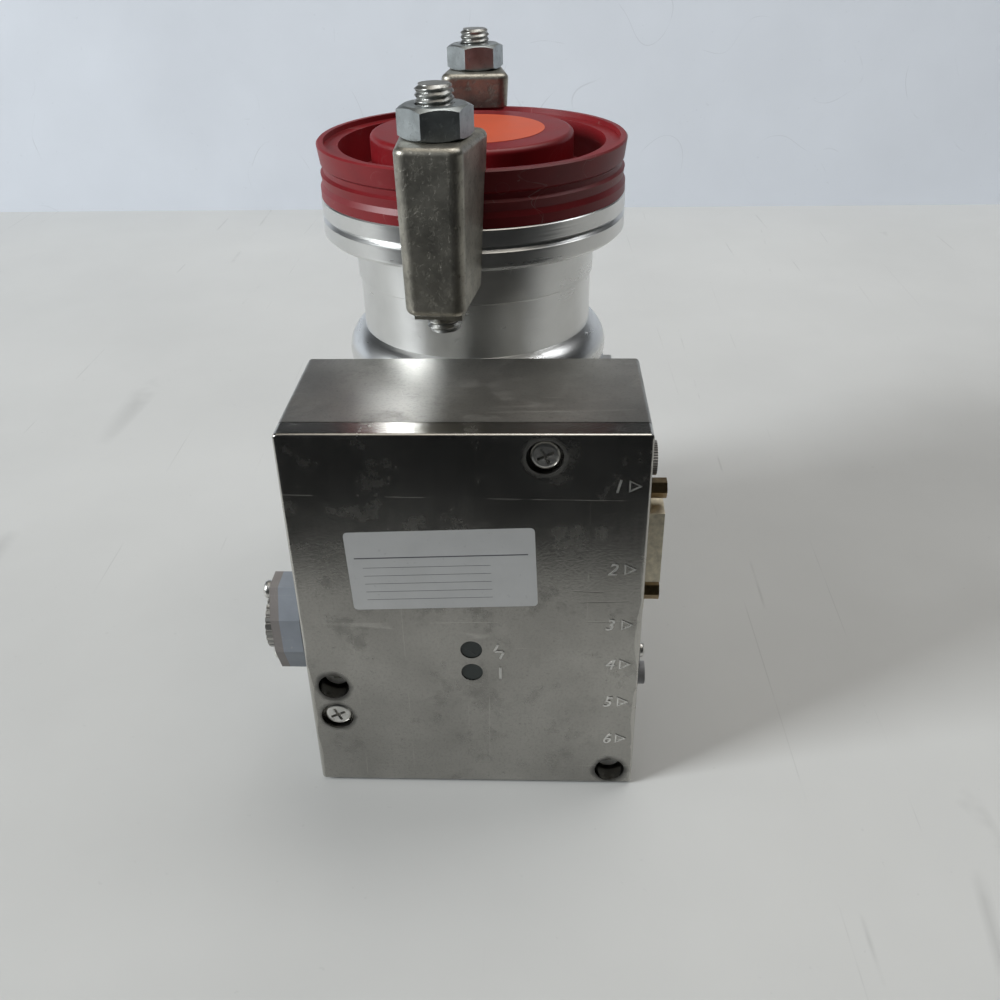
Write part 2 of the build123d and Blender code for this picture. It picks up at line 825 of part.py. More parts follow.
# ================= Stator discs and spacer rings =================
ring_outer = casing_bore - ring_fit
stack_top = pump_height - centring_depth - inlet_lip
star_low = stack_top - star_ring_height
disc_middles = [stage_middle(s + 1) + stage_pitch / 2 for s in range(stage_count - 1)]
stator_blade = blade(
    blade_outline(stator_blade_height, stator_blade_angle, stator_blade_thickness),
    stator_core_inner + 0.3,
    stator_rim_inner + 0.7,
    mirrored=True,
)
with BuildPart() as stator_discs:
    for middle in disc_middles:
        low = middle - stator_blade_height / 2
        with BuildSketch(Plane.XY.offset(low)):
            Circle(ring_outer)
            Circle(stator_rim_inner, mode=Mode.SUBTRACT)
        extrude(amount=stator_blade_height)
        with BuildSketch(Plane.XY.offset(middle - stator_core_height / 2)):
            Circle(stator_core_outer)
            Circle(stator_core_inner, mode=Mode.SUBTRACT)
        extrude(amount=stator_core_height)
        with Locations((0, 0, middle)):
            with PolarLocations(0, stator_blade_count):
                add(stator_blade)
    # Each disc is two halves, slipped in from the sides.
    with BuildSketch(Plane.XY.offset(disc_middles[-1] - stator_blade_height)):
        Rectangle(2 * casing_bore, stator_split)
    extrude(amount=stage_count * stage_pitch, mode=Mode.SUBTRACT)
save(stator_discs.part, "stator_discs")

ring_ends = [(disc_middles[0] + stator_blade_height / 2, star_low)]
for upper, lower in zip(disc_middles, disc_middles[1:]):
    ring_ends.append((lower + stator_blade_height / 2, upper - stator_blade_height / 2))
ring_ends.append((joint_height + spigot_height, disc_middles[-1] - stator_blade_height / 2))
with BuildPart() as spacer_rings:
    for low, high in ring_ends:
        with BuildSketch(Plane.XY.offset(low + 0.02)):
            Circle(ring_outer)
            Circle(stator_rim_inner, mode=Mode.SUBTRACT)
        extrude(amount=high - low - 0.04)
save(spacer_rings.part, "spacer_rings")

# ================= Upper magnetic bearing and inlet screen =================
well_floor = rotor_top - magnet_well_depth
magnet_low = well_floor + 2.2
magnet_top = magnet_low + magnet_length
with BuildPart() as bearing_star:
    with BuildSketch(Plane.XY.offset(star_low)):
        Circle(ring_outer)
        Circle(stator_rim_inner - 1.2, mode=Mode.SUBTRACT)
        with PolarLocations(0, star_arm_count, start_angle=90):
            Rectangle(stator_rim_inner, star_arm_width, align=(Align.MIN, Align.CENTER))
    extrude(amount=star_ring_height)
    with BuildSketch(Plane.XY.offset(star_low)):
        Circle(star_hub_radius)
    extrude(amount=star_ring_height + star_hub_rise)
    with BuildSketch(Plane.XY.offset(magnet_low)):
        Circle(star_pin_radius)
    extrude(amount=star_low - magnet_low)
save(bearing_star.part, "bearing_star")

save(
    ring(star_pin_radius + seat_fit, fixed_magnet_outer, magnet_low, magnet_top),
    "fixed_magnets",
)
save(
    ring(turning_magnet_inner, magnet_well_radius - seat_fit, magnet_low, magnet_top),
    "turning_magnets",
)

screen_low = pump_height - centring_depth
with BuildPart() as inlet_screen:
    with BuildSketch(Plane.XY.offset(screen_low)):
        for number in range(screen_rings):
            outer = (centring_radius - 0.2) * (number + 1) / screen_rings
            Circle(outer)
            Circle(outer - screen_wire, mode=Mode.SUBTRACT)
            with PolarLocations(0, screen_spokes):
                Rectangle(outer - screen_wire / 2, screen_wire, align=(Align.MIN, Align.CENTER))
    extrude(amount=screen_thickness)
save(inlet_screen.part, "inlet_screen")

# ================= Drag stage and motor =================
with BuildPart() as drag_stator:
    with BuildSketch(Plane.XY.offset(drag_floor)):
        Circle(drag_bore - ring_fit)
        Circle(drag_stator_inner, mode=Mode.SUBTRACT)
    extrude(amount=joint_height - drag_floor)
    with BuildSketch(Plane.YZ.offset(drag_stator_inner - 1)):
        with Locations((0, vent_height)):
            Circle(vent_bore_radius)
    extrude(amount=4, mode=Mode.SUBTRACT)
save(drag_stator.part, "drag_stator")

save(
    ring(drag_core_inner, drag_core_outer, drag_floor, drag_floor + drag_core_height),
    "drag_core",
)
motor_outer = drag_core_inner - seat_fit
with BuildPart() as motor_stator:
    with BuildSketch(Plane.XY.offset(motor_low)):
        Circle(motor_outer)
        Circle(motor_bore, mode=Mode.SUBTRACT)
        with PolarLocations(motor_bore, motor_slots):
            Rectangle(3.2, 1.4, mode=Mode.SUBTRACT)
    extrude(amount=motor_stack)
save(motor_stator.part, "motor_stator")

with BuildPart() as motor_coils:
    for low in (motor_low - coil_height, motor_low + motor_stack):
        with BuildSketch(Plane.XY.offset(low)):
            Circle(coil_outer)
            Circle(coil_inner, mode=Mode.SUBTRACT)
        extrude(amount=coil_height)
save(motor_coils.part, "motor_coils")
motor_top = motor_low + motor_stack
magnet_sleeve = ring(shaft_radius + seat_fit / 2, motor_magnet_radius, motor_low + 1, motor_top - 1)
save(magnet_sleeve, "motor_magnet")

# ================= Transit cap =================
cap_rim_top = pump_height + cap_height
cap_floor = pump_height + cap_wall + 0.8
cap_boss_top = cap_rim_top + cap_boss_rise
with BuildPart() as transit_cap:
    with BuildSketch(Plane.XZ):
        with BuildLine():
            Polyline(
                (cap_spigot_radius - cap_wall, pump_height - cap_spigot_depth),
                (cap_spigot_radius, pump_height - cap_spigot_depth),
                (cap_spigot_radius, pump_height),
                (cap_band_radius, pump_height),
                (cap_band_radius, pump_height + cap_band_height),
                (cap_waist_radius, pump_height + cap_waist_height),
                (cap_shoulder_radius, pump_height + cap_notch_height - cap_notch_slant),
                (cap_notch_radius, pump_height + cap_notch_height),
                (cap_notch_radius, pump_height + cap_notch_height + cap_notch_width),
                (
                    cap_notch_radius + cap_notch_slant,
                    pump_height + cap_notch_height + cap_notch_width + cap_notch_slant,
                ),
                (cap_rim_outer, cap_rim_top - 0.5),
                (cap_rim_outer - 0.5, cap_rim_top),
                (cap_rim_inner + 0.2, cap_rim_top),
                (cap_rim_inner, cap_rim_top - cap_ledge_drop),
                (cap_ledge_inner, cap_rim_top - cap_ledge_drop),
                (cap_ledge_inner - 1.2, cap_floor),
                (cap_boss_radius + cap_boss_flare, cap_floor),
                (cap_boss_radius, cap_floor + 2 * cap_boss_flare),
                (cap_boss_radius, cap_boss_top),
                (0, cap_boss_top),
                (0, cap_boss_top - cap_wall),
                (cap_boss_radius - cap_wall, cap_boss_top - cap_wall),
                close=True,
            )
        make_face()
    revolve(axis=Axis.Z)
    fillet(transit_cap.edges().group_by(Axis.Z)[-1], radius=cap_boss_round)
save(transit_cap.part, "transit_cap")

# ================= Claw clamps =================
claw_under = cap_rim_top
claw_top = claw_under + claw_jaw
claw_foot = flange_bottom - claw_bottom_drop
claw_inside = flange_radius + claw_flange_gap
claw_back = claw_outer_face - claw_back_wall


def claw_plan(outer_half, tip_half):
    """A claw's outline from above, tapering from the jaw's tip to the outer face."""
    return [
        (claw_tip, tip_half),
        (claw_outer_face, outer_half),
        (claw_outer_face, -outer_half),
        (claw_tip, -tip_half),
    ]


# Built with its jaw towards the axis along +X, then turned to its place.
with BuildPart() as claw:
    for height, outer_half, tip_half in (
        (claw_foot, claw_outer_half_bottom, claw_tip_half_bottom),
        (claw_top, claw_outer_half_top, claw_tip_half_top),
    ):
        with BuildSketch(Plane.XY.offset(height)):
            with BuildLine():
                Polyline(*claw_plan(outer_half, tip_half), close=True)
            make_face()
    loft(ruled=True)
    fillet(claw.edges().filter_by(lambda e: abs(e.tangent_at(0.5).Z) > 0.9), radius=claw_side_round)
    fillet(claw.edges().group_by(Axis.Z)[-1], radius=claw_round)
    fillet(claw.edges().group_by(Axis.Z)[0], radius=claw_foot_round)
    # Room for the flange and cap between the side walls.
    with BuildSketch(Plane.XY.offset(claw_foot)):
        with Locations((claw_inside, 0)):
            Rectangle(claw_inside, 3 * claw_tip_half_top, align=(Align.MAX, Align.CENTER))
    extrude(amount=claw_under - claw_foot, mode=Mode.SUBTRACT)
    # Channel for the inner claw.
    with BuildSketch(Plane.XY.offset(claw_foot)):
        with Locations((claw_inside - 1, 0)):
            Rectangle(
                claw_back - claw_inside + 1,
                2 * claw_channel_half,
                align=(Align.MIN, Align.CENTER),
            )
    extrude(amount=claw_under - claw_foot, mode=Mode.SUBTRACT)
    with BuildSketch(Plane.XY.offset(claw_foot)):
        with Locations((clamp_circle, 0)):
            Circle(stud_radius + stud_hole_gap)
    extrude(amount=claw_top - claw_foot, mode=Mode.SUBTRACT)

inner_claw_top = flange_bottom + inner_claw_rise
inner_claw_low = flange_bottom - inner_claw_drop
with BuildPart() as inner_claw:
    with BuildSketch(Plane.XZ):
        with BuildLine():
            Polyline(
                (inner_claw_tip, flange_bottom),
                (claw_inside, flange_bottom),
                (claw_inside, inner_claw_top),
                (claw_back - inner_claw_gap, inner_claw_top),
                (claw_back - inner_claw_gap, inner_claw_low),
                (inner_claw_tip + inner_claw_slant, inner_claw_low),
                (inner_claw_tip, flange_bottom - inner_claw_jaw),
                close=True,
            )
        make_face()
    extrude(amount=inner_claw_half, both=True)
    with BuildSketch(Plane.XY.offset(inner_claw_low)):
        with Locations((clamp_circle, 0)):
            Circle(stud_radius + thread_gap)
    extrude(amount=inner_claw_top - inner_claw_low, mode=Mode.SUBTRACT)

stud_low = flange_bottom - stud_drop
stud_top = claw_top + nut_height + stud_above_nut
with BuildPart() as stud:
    with BuildSketch(Plane.XY.offset(stud_low)):
        with Locations((clamp_circle, 0)):
            Circle(stud_radius)
    extrude(amount=stud_top - stud_low)
    chamfer(stud.edges().filter_by(GeomType.CIRCLE), length=stud_chamfer)

nut_face_radius = nut_hex / 2 - nut_face_inset
with BuildPart() as nut:
    with BuildSketch(Plane.XY.offset(claw_top)):
        RegularPolygon(nut_hex / 2, 6, major_radius=False, rotation=30)
    extrude(amount=nut_height)
    with BuildSketch(Plane.XZ):
        with BuildLine():
            Polyline(
                (nut_face_radius, claw_top),
                (nut_face_radius + 2 * nut_chamfer, claw_top + nut_chamfer),
                (nut_face_radius + 2 * nut_chamfer, claw_top + nut_height - nut_chamfer),
                (nut_face_radius, claw_top + nut_height),
                (0, claw_top + nut_height),
                (0, claw_top),
                close=True,
            )
        make_face()
    revolve(axis=Axis.Z, mode=Mode.INTERSECT)
    with BuildSketch(Plane.XY.offset(claw_top)):
        Circle(stud_radius + thread_gap)
    extrude(amount=nut_height, mode=Mode.SUBTRACT)


def clamp_point(angle):
    return (clamp_circle * cos(radians(angle)), clamp_circle * sin(radians(angle)), 0)


save(claw.part.rotate(Axis.Z, front_clamp_angle), "front_claw")
save(claw.part.rotate(Axis.Z, rear_clamp_angle), "rear_claw")
for piece, name in ((inner_claw, "inner_claws"), (stud, "clamp_studs")):
    with BuildPart() as pair:
        add(piece.part.rotate(Axis.Z, front_clamp_angle))
        add(piece.part.rotate(Axis.Z, rear_clamp_angle))
    save(pair.part, name)
front_nut = nut.part.rotate(Axis.Z, front_nut_angle).moved(Location(clamp_point(front_clamp_angle)))
save(front_nut, "front_nut")
rear_nut = nut.part.rotate(Axis.Z, rear_nut_angle).moved(Location(clamp_point(rear_clamp_angle)))
save(rear_nut, "rear_nut")

# ================= Drive case =================
lid_back = case_front - lid_seal_thickness
lid_front = lid_back - lid_thickness
drive_middle = drive_bottom + drive_height / 2
inside_half = side_x - case_wall
floor_y = drive_back - case_wall
socket_seat = lid_front + socket_well_depth + socket_head_height
board_back = floor_y - board_standoff
board_screw_run = board_size[0] / 2 - board_margin
board_screw_rise = board_size[1] / 2 - board_margin
board_corners = [
    (board_centre[0] + i * board_screw_run, board_centre[1] + j * board_screw_rise)
    for i in (-1, 1)
    for j in (-1, 1)
]
remote_screw_heights = [remote_height - remote_screw_spacing / 2, remote_height + remote_screw_spacing / 2]
relay_screw_place = (relay_place[0], relay_place[1] + relay_lug_height)

power_local = (power_place[0], -power_place[1])
power_screw_places = [
    (power_local[0], power_local[1] - power_screw_offset),
    (power_local[0], power_local[1] + power_screw_offset),
]

with BuildPart() as drive_case:
    with BuildSketch(front_plane(drive_back)):
        with Locations((0, drive_middle)):
            Rectangle(drive_width, drive_height)
    extrude(amount=case_depth)
    fillet(drive_case.edges().filter_by(Axis.Y), radius=case_round)
    with BuildSketch(front_plane(floor_y)):
        with Locations((0, drive_middle)):
            Rectangle(2 * inside_half, drive_height - 2 * case_wall)
        for x, z in pan_screws + socket_screws:
            with Locations((x, z)):
                Circle(screw_column, mode=Mode.SUBTRACT)
    extrude(amount=case_depth, mode=Mode.SUBTRACT)
    with BuildSketch(front_plane(floor_y)):
        for x, z in board_corners:
            with Locations((x, z)):
                Circle(board_standoff_radius)
    extrude(amount=board_standoff)
    with BuildSketch(front_plane(board_back)):
        for x, z in board_corners:
            with Locations((x, z)):
                Circle(small_screw_radius + seat_fit)
    extrude(amount=-board_standoff, mode=Mode.SUBTRACT)
    # Screw holes: blind for the lid, right through for the long screws.
    with BuildSketch(front_plane(case_front)):
        for x, z in pan_screws:
            with Locations((x, z)):
                Circle(screw_thread)
    extrude(amount=-12, mode=Mode.SUBTRACT)
    with BuildSketch(front_plane(drive_back)):
        for x, z in socket_screws:
            with Locations((x, z)):
                Circle(screw_clearance)
    extrude(amount=case_depth, mode=Mode.SUBTRACT)
    with BuildSketch(front_plane(socket_seat)):
        for x, z in socket_screws:
            with Locations((x, z)):
                Circle(socket_well)
    extrude(amount=socket_seat - case_front + 1, mode=Mode.SUBTRACT)
    # Opening for the plug to the pump.
    with BuildSketch(front_plane(drive_back)):
        with Locations((0, plug_centre)):
            Rectangle(2 * (plug_half + plug_gap), plug_height + 2 * plug_gap)
    extrude(amount=case_wall, mode=Mode.SUBTRACT)
    # Openings in the right side.
    with BuildSketch(right_plane(inside_half)):
        with Locations((port_line, remote_height)):
            Rectangle(remote_shell[0] + 0.8, remote_shell[1] + 0.8)
        for y, z, radius, rise in wall_ports:
            with Locations((y, z)):
                Circle(radius + port_gap)
        with Locations(relay_place):
            Circle(relay_collar_radius + port_gap)
        for z in remote_screw_heights:
            with Locations((port_line, z)):
                Circle(remote_shank_radius)
        with Locations(relay_screw_place):
            Circle(small_screw_radius + seat_fit)
    extrude(amount=case_wall, mode=Mode.SUBTRACT)
    # Openings in the left side.
    with BuildSketch(left_plane(-case_wall)):
        with Locations(power_local):
            Circle(power_spigot_radius + port_gap)
        for y, z in power_screw_places:
            with Locations((y, z)):
                Circle(power_screw_radius + seat_fit)
    extrude(amount=case_wall, mode=Mode.SUBTRACT)
    with BuildSketch(left_plane(0)):
        with Locations((wall_screw_place[0], -wall_screw_place[1])):
            Circle(small_screw_radius + seat_fit)
    extrude(amount=-small_screw_length, mode=Mode.SUBTRACT)
save(drive_case.part, "drive_case")

with BuildPart() as lid_seal:
    with BuildSketch(front_plane(case_front)):
        with Locations((0, drive_middle)):
            Rectangle(drive_width - 2 * lid_seal_inset, drive_height - 2 * lid_seal_inset)
            Rectangle(
                drive_width - 2 * lid_seal_inset - 2 * lid_seal_width,
                drive_height - 2 * lid_seal_inset - 2 * lid_seal_width,
                mode=Mode.SUBTRACT,
            )
        for x, z in socket_screws:
            with Locations((x, z)):
                Circle(socket_well, mode=Mode.SUBTRACT)
    extrude(amount=lid_seal_thickness)
save(lid_seal.part, "lid_seal")

with BuildPart() as drive_lid:
    with BuildSketch(front_plane(lid_back)):
        with Locations((0, drive_middle)):
            Rectangle(drive_width, drive_height)
    extrude(amount=lid_thickness)
    fillet(drive_lid.edges().filter_by(Axis.Y), radius=case_round)
    front_rim = drive_lid.edges().group_by(Axis.Y)[0]
    fillet(front_rim, radius=lid_round)
    with BuildSketch(front_plane(lid_back)):
        with Locations((0, drive_middle)):
            Rectangle(drive_width - 2 * lid_rim, drive_height - 2 * lid_rim)
        for x, z in pan_screws + socket_screws:
            with Locations((x, z)):
                Circle(screw_column + 0.8, mode=Mode.SUBTRACT)
    extrude(amount=lid_pocket, mode=Mode.SUBTRACT)
    with BuildSketch(front_plane(lid_back)):
        for x, z in pan_screws:
            with Locations((x, z)):
                Circle(screw_clearance)
        for x, z in socket_screws:
            with Locations((x, z)):
                Circle(socket_well)
        for x, z in window_places:
            with Locations((x, z)):
                Circle(window_radius)
    extrude(amount=lid_thickness, mode=Mode.SUBTRACT)
    with BuildSketch(front_plane(lid_front + pan_well_depth)):
        for x, z in pan_screws:
            with Locations((x, z)):
                Circle(pan_well)
    extrude(amount=pan_well_depth, mode=Mode.SUBTRACT)
save(drive_lid.part, "drive_lid")

with BuildPart() as led_windows:
    with BuildSketch(front_plane(lid_back - lid_pocket)):
        for x, z in window_places:
            with Locations((x, z)):
                Circle(window_radius - seat_fit)
    extrude(amount=lid_thickness - lid_pocket - window_recess)
    with BuildSketch(front_plane(lid_back - lid_pocket + 1.2)):
        for x, z in window_places:
            with Locations((x, z)):
                Circle(window_radius + 0.6)
    extrude(amount=1.2)
save(led_windows.part, "led_windows")

with BuildPart() as lid_screws:
    with BuildSketch(front_plane(lid_front + pan_well_depth)):
        for x, z in pan_screws:
            with Locations((x, z)):
                Circle(pan_head)
    extrude(amount=pan_head_height)
    head_rims = lid_screws.edges().group_by(Axis.Y)[0]
    fillet(head_rims, radius=1.2)
    with BuildSketch(front_plane(lid_front + pan_well_depth - pan_head_height)):
        for x, z in pan_screws:
            with Locations((x, z)):
                Rectangle(4.6, pan_slot, rotation=25)
                Rectangle(4.6, pan_slot, rotation=115)
    extrude(amount=-1.4, mode=Mode.SUBTRACT)
    with BuildSketch(front_plane(case_front + 9)):
        for x, z in pan_screws:
            with Locations((x, z)):
                Circle(screw_radius)
    extrude(amount=9 + lid_seal_thickness + lid_thickness - pan_well_depth + 0.4)
save(lid_screws.part, "lid_screws")

with BuildPart() as drive_screws:
    with BuildSketch(front_plane(socket_seat)):
        for x, z in socket_screws:
            with Locations((x, z)):
                Circle(socket_head)
                RegularPolygon(socket_hex / 2, 6, major_radius=False, mode=Mode.SUBTRACT)
    extrude(amount=socket_head_height)
    with BuildSketch(front_plane(plate_back - drive_screw_end)):
        for x, z in socket_screws:
            with Locations((x, z)):
                Circle(screw_radius)
    extrude(amount=plate_back - drive_screw_end - socket_seat + socket_floor)
save(drive_screws.part, "drive_screws")

# ================= Drive interior =================
with BuildPart() as circuit_board:
    with BuildSketch(front_plane(board_back)):
        with Locations(board_centre):
            Rectangle(board_size[0], board_size[1])
        for x, z in board_corners:
            with Locations((x, z)):
                Circle(1.5, mode=Mode.SUBTRACT)
        for x, z in pan_screws + socket_screws:
            with Locations((x, z)):
                Circle(screw_column + 1, mode=Mode.SUBTRACT)
    extrude(amount=board_size[2])
save(circuit_board.part, "circuit_board")

board_front = board_back - board_size[2]
with BuildPart() as capacitors:
    with BuildSketch(front_plane(board_front)):
        for x, z in capacitor_places:
            with Locations((board_centre[0] + x, board_centre[1] + z)):
                Circle(capacitor_radius)
    extrude(amount=capacitor_length)
    fillet(capacitors.edges().group_by(Axis.Y)[0], radius=0.8)
save(capacitors.part, "capacitors")

with BuildPart() as power_transistors:
    with BuildSketch(front_plane(board_front)):
        for x, z in transistor_places:
            with Locations((board_centre[0] + x, board_centre[1] + z)):
                Rectangle(transistor_size[0], transistor_size[1])
    extrude(amount=transistor_size[2])
save(power_transistors.part, "power_transistors")

with BuildPart() as drive_plug:
    with BuildSketch(front_plane(drive_back + plug_depth - 0.4)):
        with Locations((0, plug_centre)):
            Rectangle(2 * plug_half, plug_height)
    extrude(amount=plug_depth - 0.4 + case_wall)
    with BuildSketch(front_plane(floor_y)):
        with Locations((0, plug_centre)):
            Rectangle(2 * plug_half + 2 * plug_flange_margin, plug_height + 2 * plug_flange_margin)
    extrude(amount=plug_flange_thickness)
save(drive_plug.part, "drive_plug")

# ================= Right-hand ports =================
with BuildPart() as remote_connector_shell:
    with BuildSketch(right_plane(side_x)):
        with Locations((port_line, remote_height)):
            Rectangle(remote_flange[0], remote_flange[1])
            for offset in (-remote_screw_spacing / 2, remote_screw_spacing / 2):
                with Locations((0, offset)):
                    Circle(remote_shank_radius, mode=Mode.SUBTRACT)
    extrude(amount=remote_flange[2])
    fillet(remote_connector_shell.edges().filter_by(Axis.X).group_by(SortBy.LENGTH)[0], radius=1.5)
    with BuildSketch(right_plane(side_x)):
        with Locations(Location((port_line, remote_height), 90)):
            Trapezoid(remote_shell[1], remote_shell[0], remote_slant)
    extrude(amount=remote_shell[2])
    with BuildSketch(right_plane(side_x)):
        with Locations(Location((port_line, remote_height), 90)):
            Trapezoid(
                remote_shell[1] - 2 * remote_shell_wall,
                remote_shell[0] - 2 * remote_shell_wall,
                remote_slant,
            )
    extrude(amount=remote_shell[2], mode=Mode.SUBTRACT)
save(remote_connector_shell.part, "remote_connector_shell")

insert_front = side_x + remote_shell[2] - 0.4
with BuildPart() as remote_insert:
    with BuildSketch(right_plane(inside_half - 4)):
        with Locations(Location((port_line, remote_height), 90)):
            Trapezoid(
                remote_shell[1] - 2 * remote_shell_wall - 0.1,
                remote_shell[0] - 2 * remote_shell_wall - 0.1,
                remote_slant,
            )
    extrude(amount=insert_front - inside_half + 4)
    with BuildSketch(right_plane(insert_front)):
        for row, count in ((0.5, 8), (-0.5, 7)):
            with Locations((port_line + row * remote_row_pitch, remote_height)):
                with GridLocations(0, remote_pin_pitch, 1, count):
                    Circle(remote_contact_radius)
    extrude(amount=-3, mode=Mode.SUBTRACT)
save(remote_insert.part, "remote_insert")

jack_base = side_x + remote_flange[2]
with BuildPart() as remote_jackscrews:
    for z in remote_screw_heights:
        with BuildSketch(right_plane(jack_base)):
            with Locations((port_line, z)):
                RegularPolygon(remote_hex / 2, 6, major_radius=False)
        extrude(amount=remote_hex_length)
        with BuildSketch(right_plane(inside_half - 1)):
            with Locations((port_line, z)):
                Circle(remote_shank_radius - seat_fit)
        extrude(amount=jack_base - inside_half + 1)
        with BuildSketch(right_plane(jack_base + remote_hex_length)):
            with Locations((port_line, z)):
                Circle(remote_hex_bore)
        extrude(amount=-remote_hex_bore_depth, mode=Mode.SUBTRACT)
save(remote_jackscrews.part, "remote_jackscrews")

with BuildPart() as wall_sockets:
    for y, z, radius, rise in wall_ports:
        with BuildSketch(right_plane(inside_half - 5)):
            with Locations((y, z)):
                Circle(radius)
        extrude(amount=5 + case_wall + rise)
        with BuildSketch(right_plane(side_x + rise)):
            with Locations((y, z)):
                Circle(wall_port_bore)
        extrude(amount=-wall_port_recess, mode=Mode.SUBTRACT)
save(wall_sockets.part, "wall_sockets")

with BuildPart() as relay_socket:
    with BuildSketch(right_plane(inside_half - 5)):
        with Locations(relay_place):
            Circle(relay_collar_radius)
    extrude(amount=5 + case_wall + relay_collar_rise)
    with BuildSketch(right_plane(side_x)):
        with Locations(relay_place):
            Rectangle(
                relay_lug_width,
                relay_lug_height + relay_lug_width / 2,
                align=(Align.CENTER, Align.MIN),
            )
            Circle(relay_lug_width / 2)
        with Locations(relay_screw_place):
            Circle(small_screw_radius + seat_fit, mode=Mode.SUBTRACT)
    extrude(amount=relay_lug_rise)
    with BuildSketch(right_plane(side_x + relay_collar_rise)):
        with Locations(relay_place):
            Circle(relay_bore_radius)
    extrude(amount=-5, mode=Mode.SUBTRACT)
save(relay_socket.part, "relay_socket")

# ================= Small screws =================
# Made once, standing on the XY plane: the head upwards, the shank below.
with BuildPart() as small_screw:
    with BuildSketch(Plane.XY):
        Circle(small_screw_head)
    extrude(amount=small_screw_head_height)
    fillet(small_screw.edges().group_by(Axis.Z)[-1], radius=small_screw_head_height / 2)
    with BuildSketch(Plane.XY.offset(small_screw_head_height)):
        Rectangle(small_screw_slot[0], small_screw_slot[1])
        Rectangle(small_screw_slot[1], small_screw_slot[0])
    extrude(amount=-small_screw_slot[2], mode=Mode.SUBTRACT)
    with BuildSketch(Plane.XY):
        Circle(small_screw_radius)
    extrude(amount=-small_screw_length)

small_screw_seats = [front_plane(board_front) * Pos(x, z) for x, z in board_corners]
small_screw_seats.append(right_plane(side_x + relay_lug_rise) * Pos(*relay_screw_place))
small_screw_seats.append(left_plane(0) * Pos(wall_screw_place[0], -wall_screw_place[1]))
with BuildPart() as small_screws:
    for seat in small_screw_seats:
        add(small_screw.part.moved(seat))
save(small_screws.part, "small_screws")

# ================= Power connector =================
def octagon_block(inset, start, thickness, bore):
    """A slab of the connector's outline on the left side, with its bore and screw holes."""
    half_depth = power_depth / 2 - inset
    half_height = power_height / 2 - inset
    quarter = [
        (half_depth, half_height - power_corner_height),
        (half_depth - power_corner_depth, half_height),
    ]
    outline = quarter + [(-y, z) for y, z in reversed(quarter)]
    outline += [(-y, -z) for y, z in outline]
    with BuildPart() as body:
        with BuildSketch(left_plane(start)):
            with Locations(power_local):
                Polygon(*outline, align=None)
                if bore:
                    Circle(bore, mode=Mode.SUBTRACT)
            with Locations(*power_screw_places):
                Circle(power_screw_radius + seat_fit, mode=Mode.SUBTRACT)
        extrude(amount=thickness)
    return body.part


power_gasket = octagon_block(
    power_gasket_inset,
    0,
    power_gasket_thickness,
    power_spigot_radius + port_gap,
)
save(power_gasket, "power_gasket")
with BuildPart() as power_base:
    add(octagon_block(0, power_gasket_thickness, power_base_thickness, 0))
    with BuildSketch(left_plane(-power_spigot_depth)):
        with Locations(power_local):
            Circle(power_spigot_radius)
    extrude(amount=power_spigot_depth + power_gasket_thickness + 0.2)
    with BuildSketch(left_plane(power_gasket_thickness + power_base_thickness)):
        with Locations(power_local):
            Circle(power_disc_bore)
    extrude(amount=-power_well_depth, mode=Mode.SUBTRACT)
save(power_base.part, "power_base")

ring_start = power_gasket_thickness + power_base_thickness
power_ring = octagon_block(0, ring_start, power_ring_thickness, power_disc_bore)
save(power_ring, "power_ring")

disc_start = ring_start + power_ring_thickness
with BuildPart() as power_disc:
    with BuildSketch(left_plane(disc_start)):
        with Locations(power_local):
            Circle(power_disc_radius)
            Circle(power_disc_bore, mode=Mode.SUBTRACT)
            with PolarLocations(power_disc_radius, power_disc_notches):
                Circle(power_notch_radius, mode=Mode.SUBTRACT)
    extrude(amount=power_disc_thickness)
save(power_disc.part, "power_disc")

with BuildPart() as power_screws:
    with BuildSketch(left_plane(disc_start)):
        with Locations(*power_screw_places):
            Circle(power_screw_head)
    extrude(amount=power_screw_rise)
    fillet(power_screws.edges().group_by(Axis.X)[0], radius=power_screw_rise / 2)
    with BuildSketch(left_plane(disc_start + power_screw_rise)):
        with Locations(*power_screw_places):
            Rectangle(3.2, 0.7, rotation=30)
            Rectangle(3.2, 0.7, rotation=120)
    extrude(amount=-1.2, mode=Mode.SUBTRACT)
    with BuildSketch(left_plane(-case_wall)):
        with Locations(*power_screw_places):
            Circle(power_screw_radius)
    extrude(amount=case_wall + disc_start + 0.4)
save(power_screws.part, "power_screws")

with BuildPart() as power_contacts:
    with BuildSketch(left_plane(ring_start - power_well_depth)):
        with Locations(power_local):
            with PolarLocations(power_contact_circle, power_contact_count):
                Circle(power_contact_radius)
    extrude(amount=power_contact_length)
save(power_contacts.part, "power_contacts")
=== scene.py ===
"""Looks of a turbomolecular pump with a claw-clamped transit cap and a bolted drive unit."""

import json
from math import cos, pi, radians, sin

import bmesh
import bpy
from mathutils import Matrix, Vector


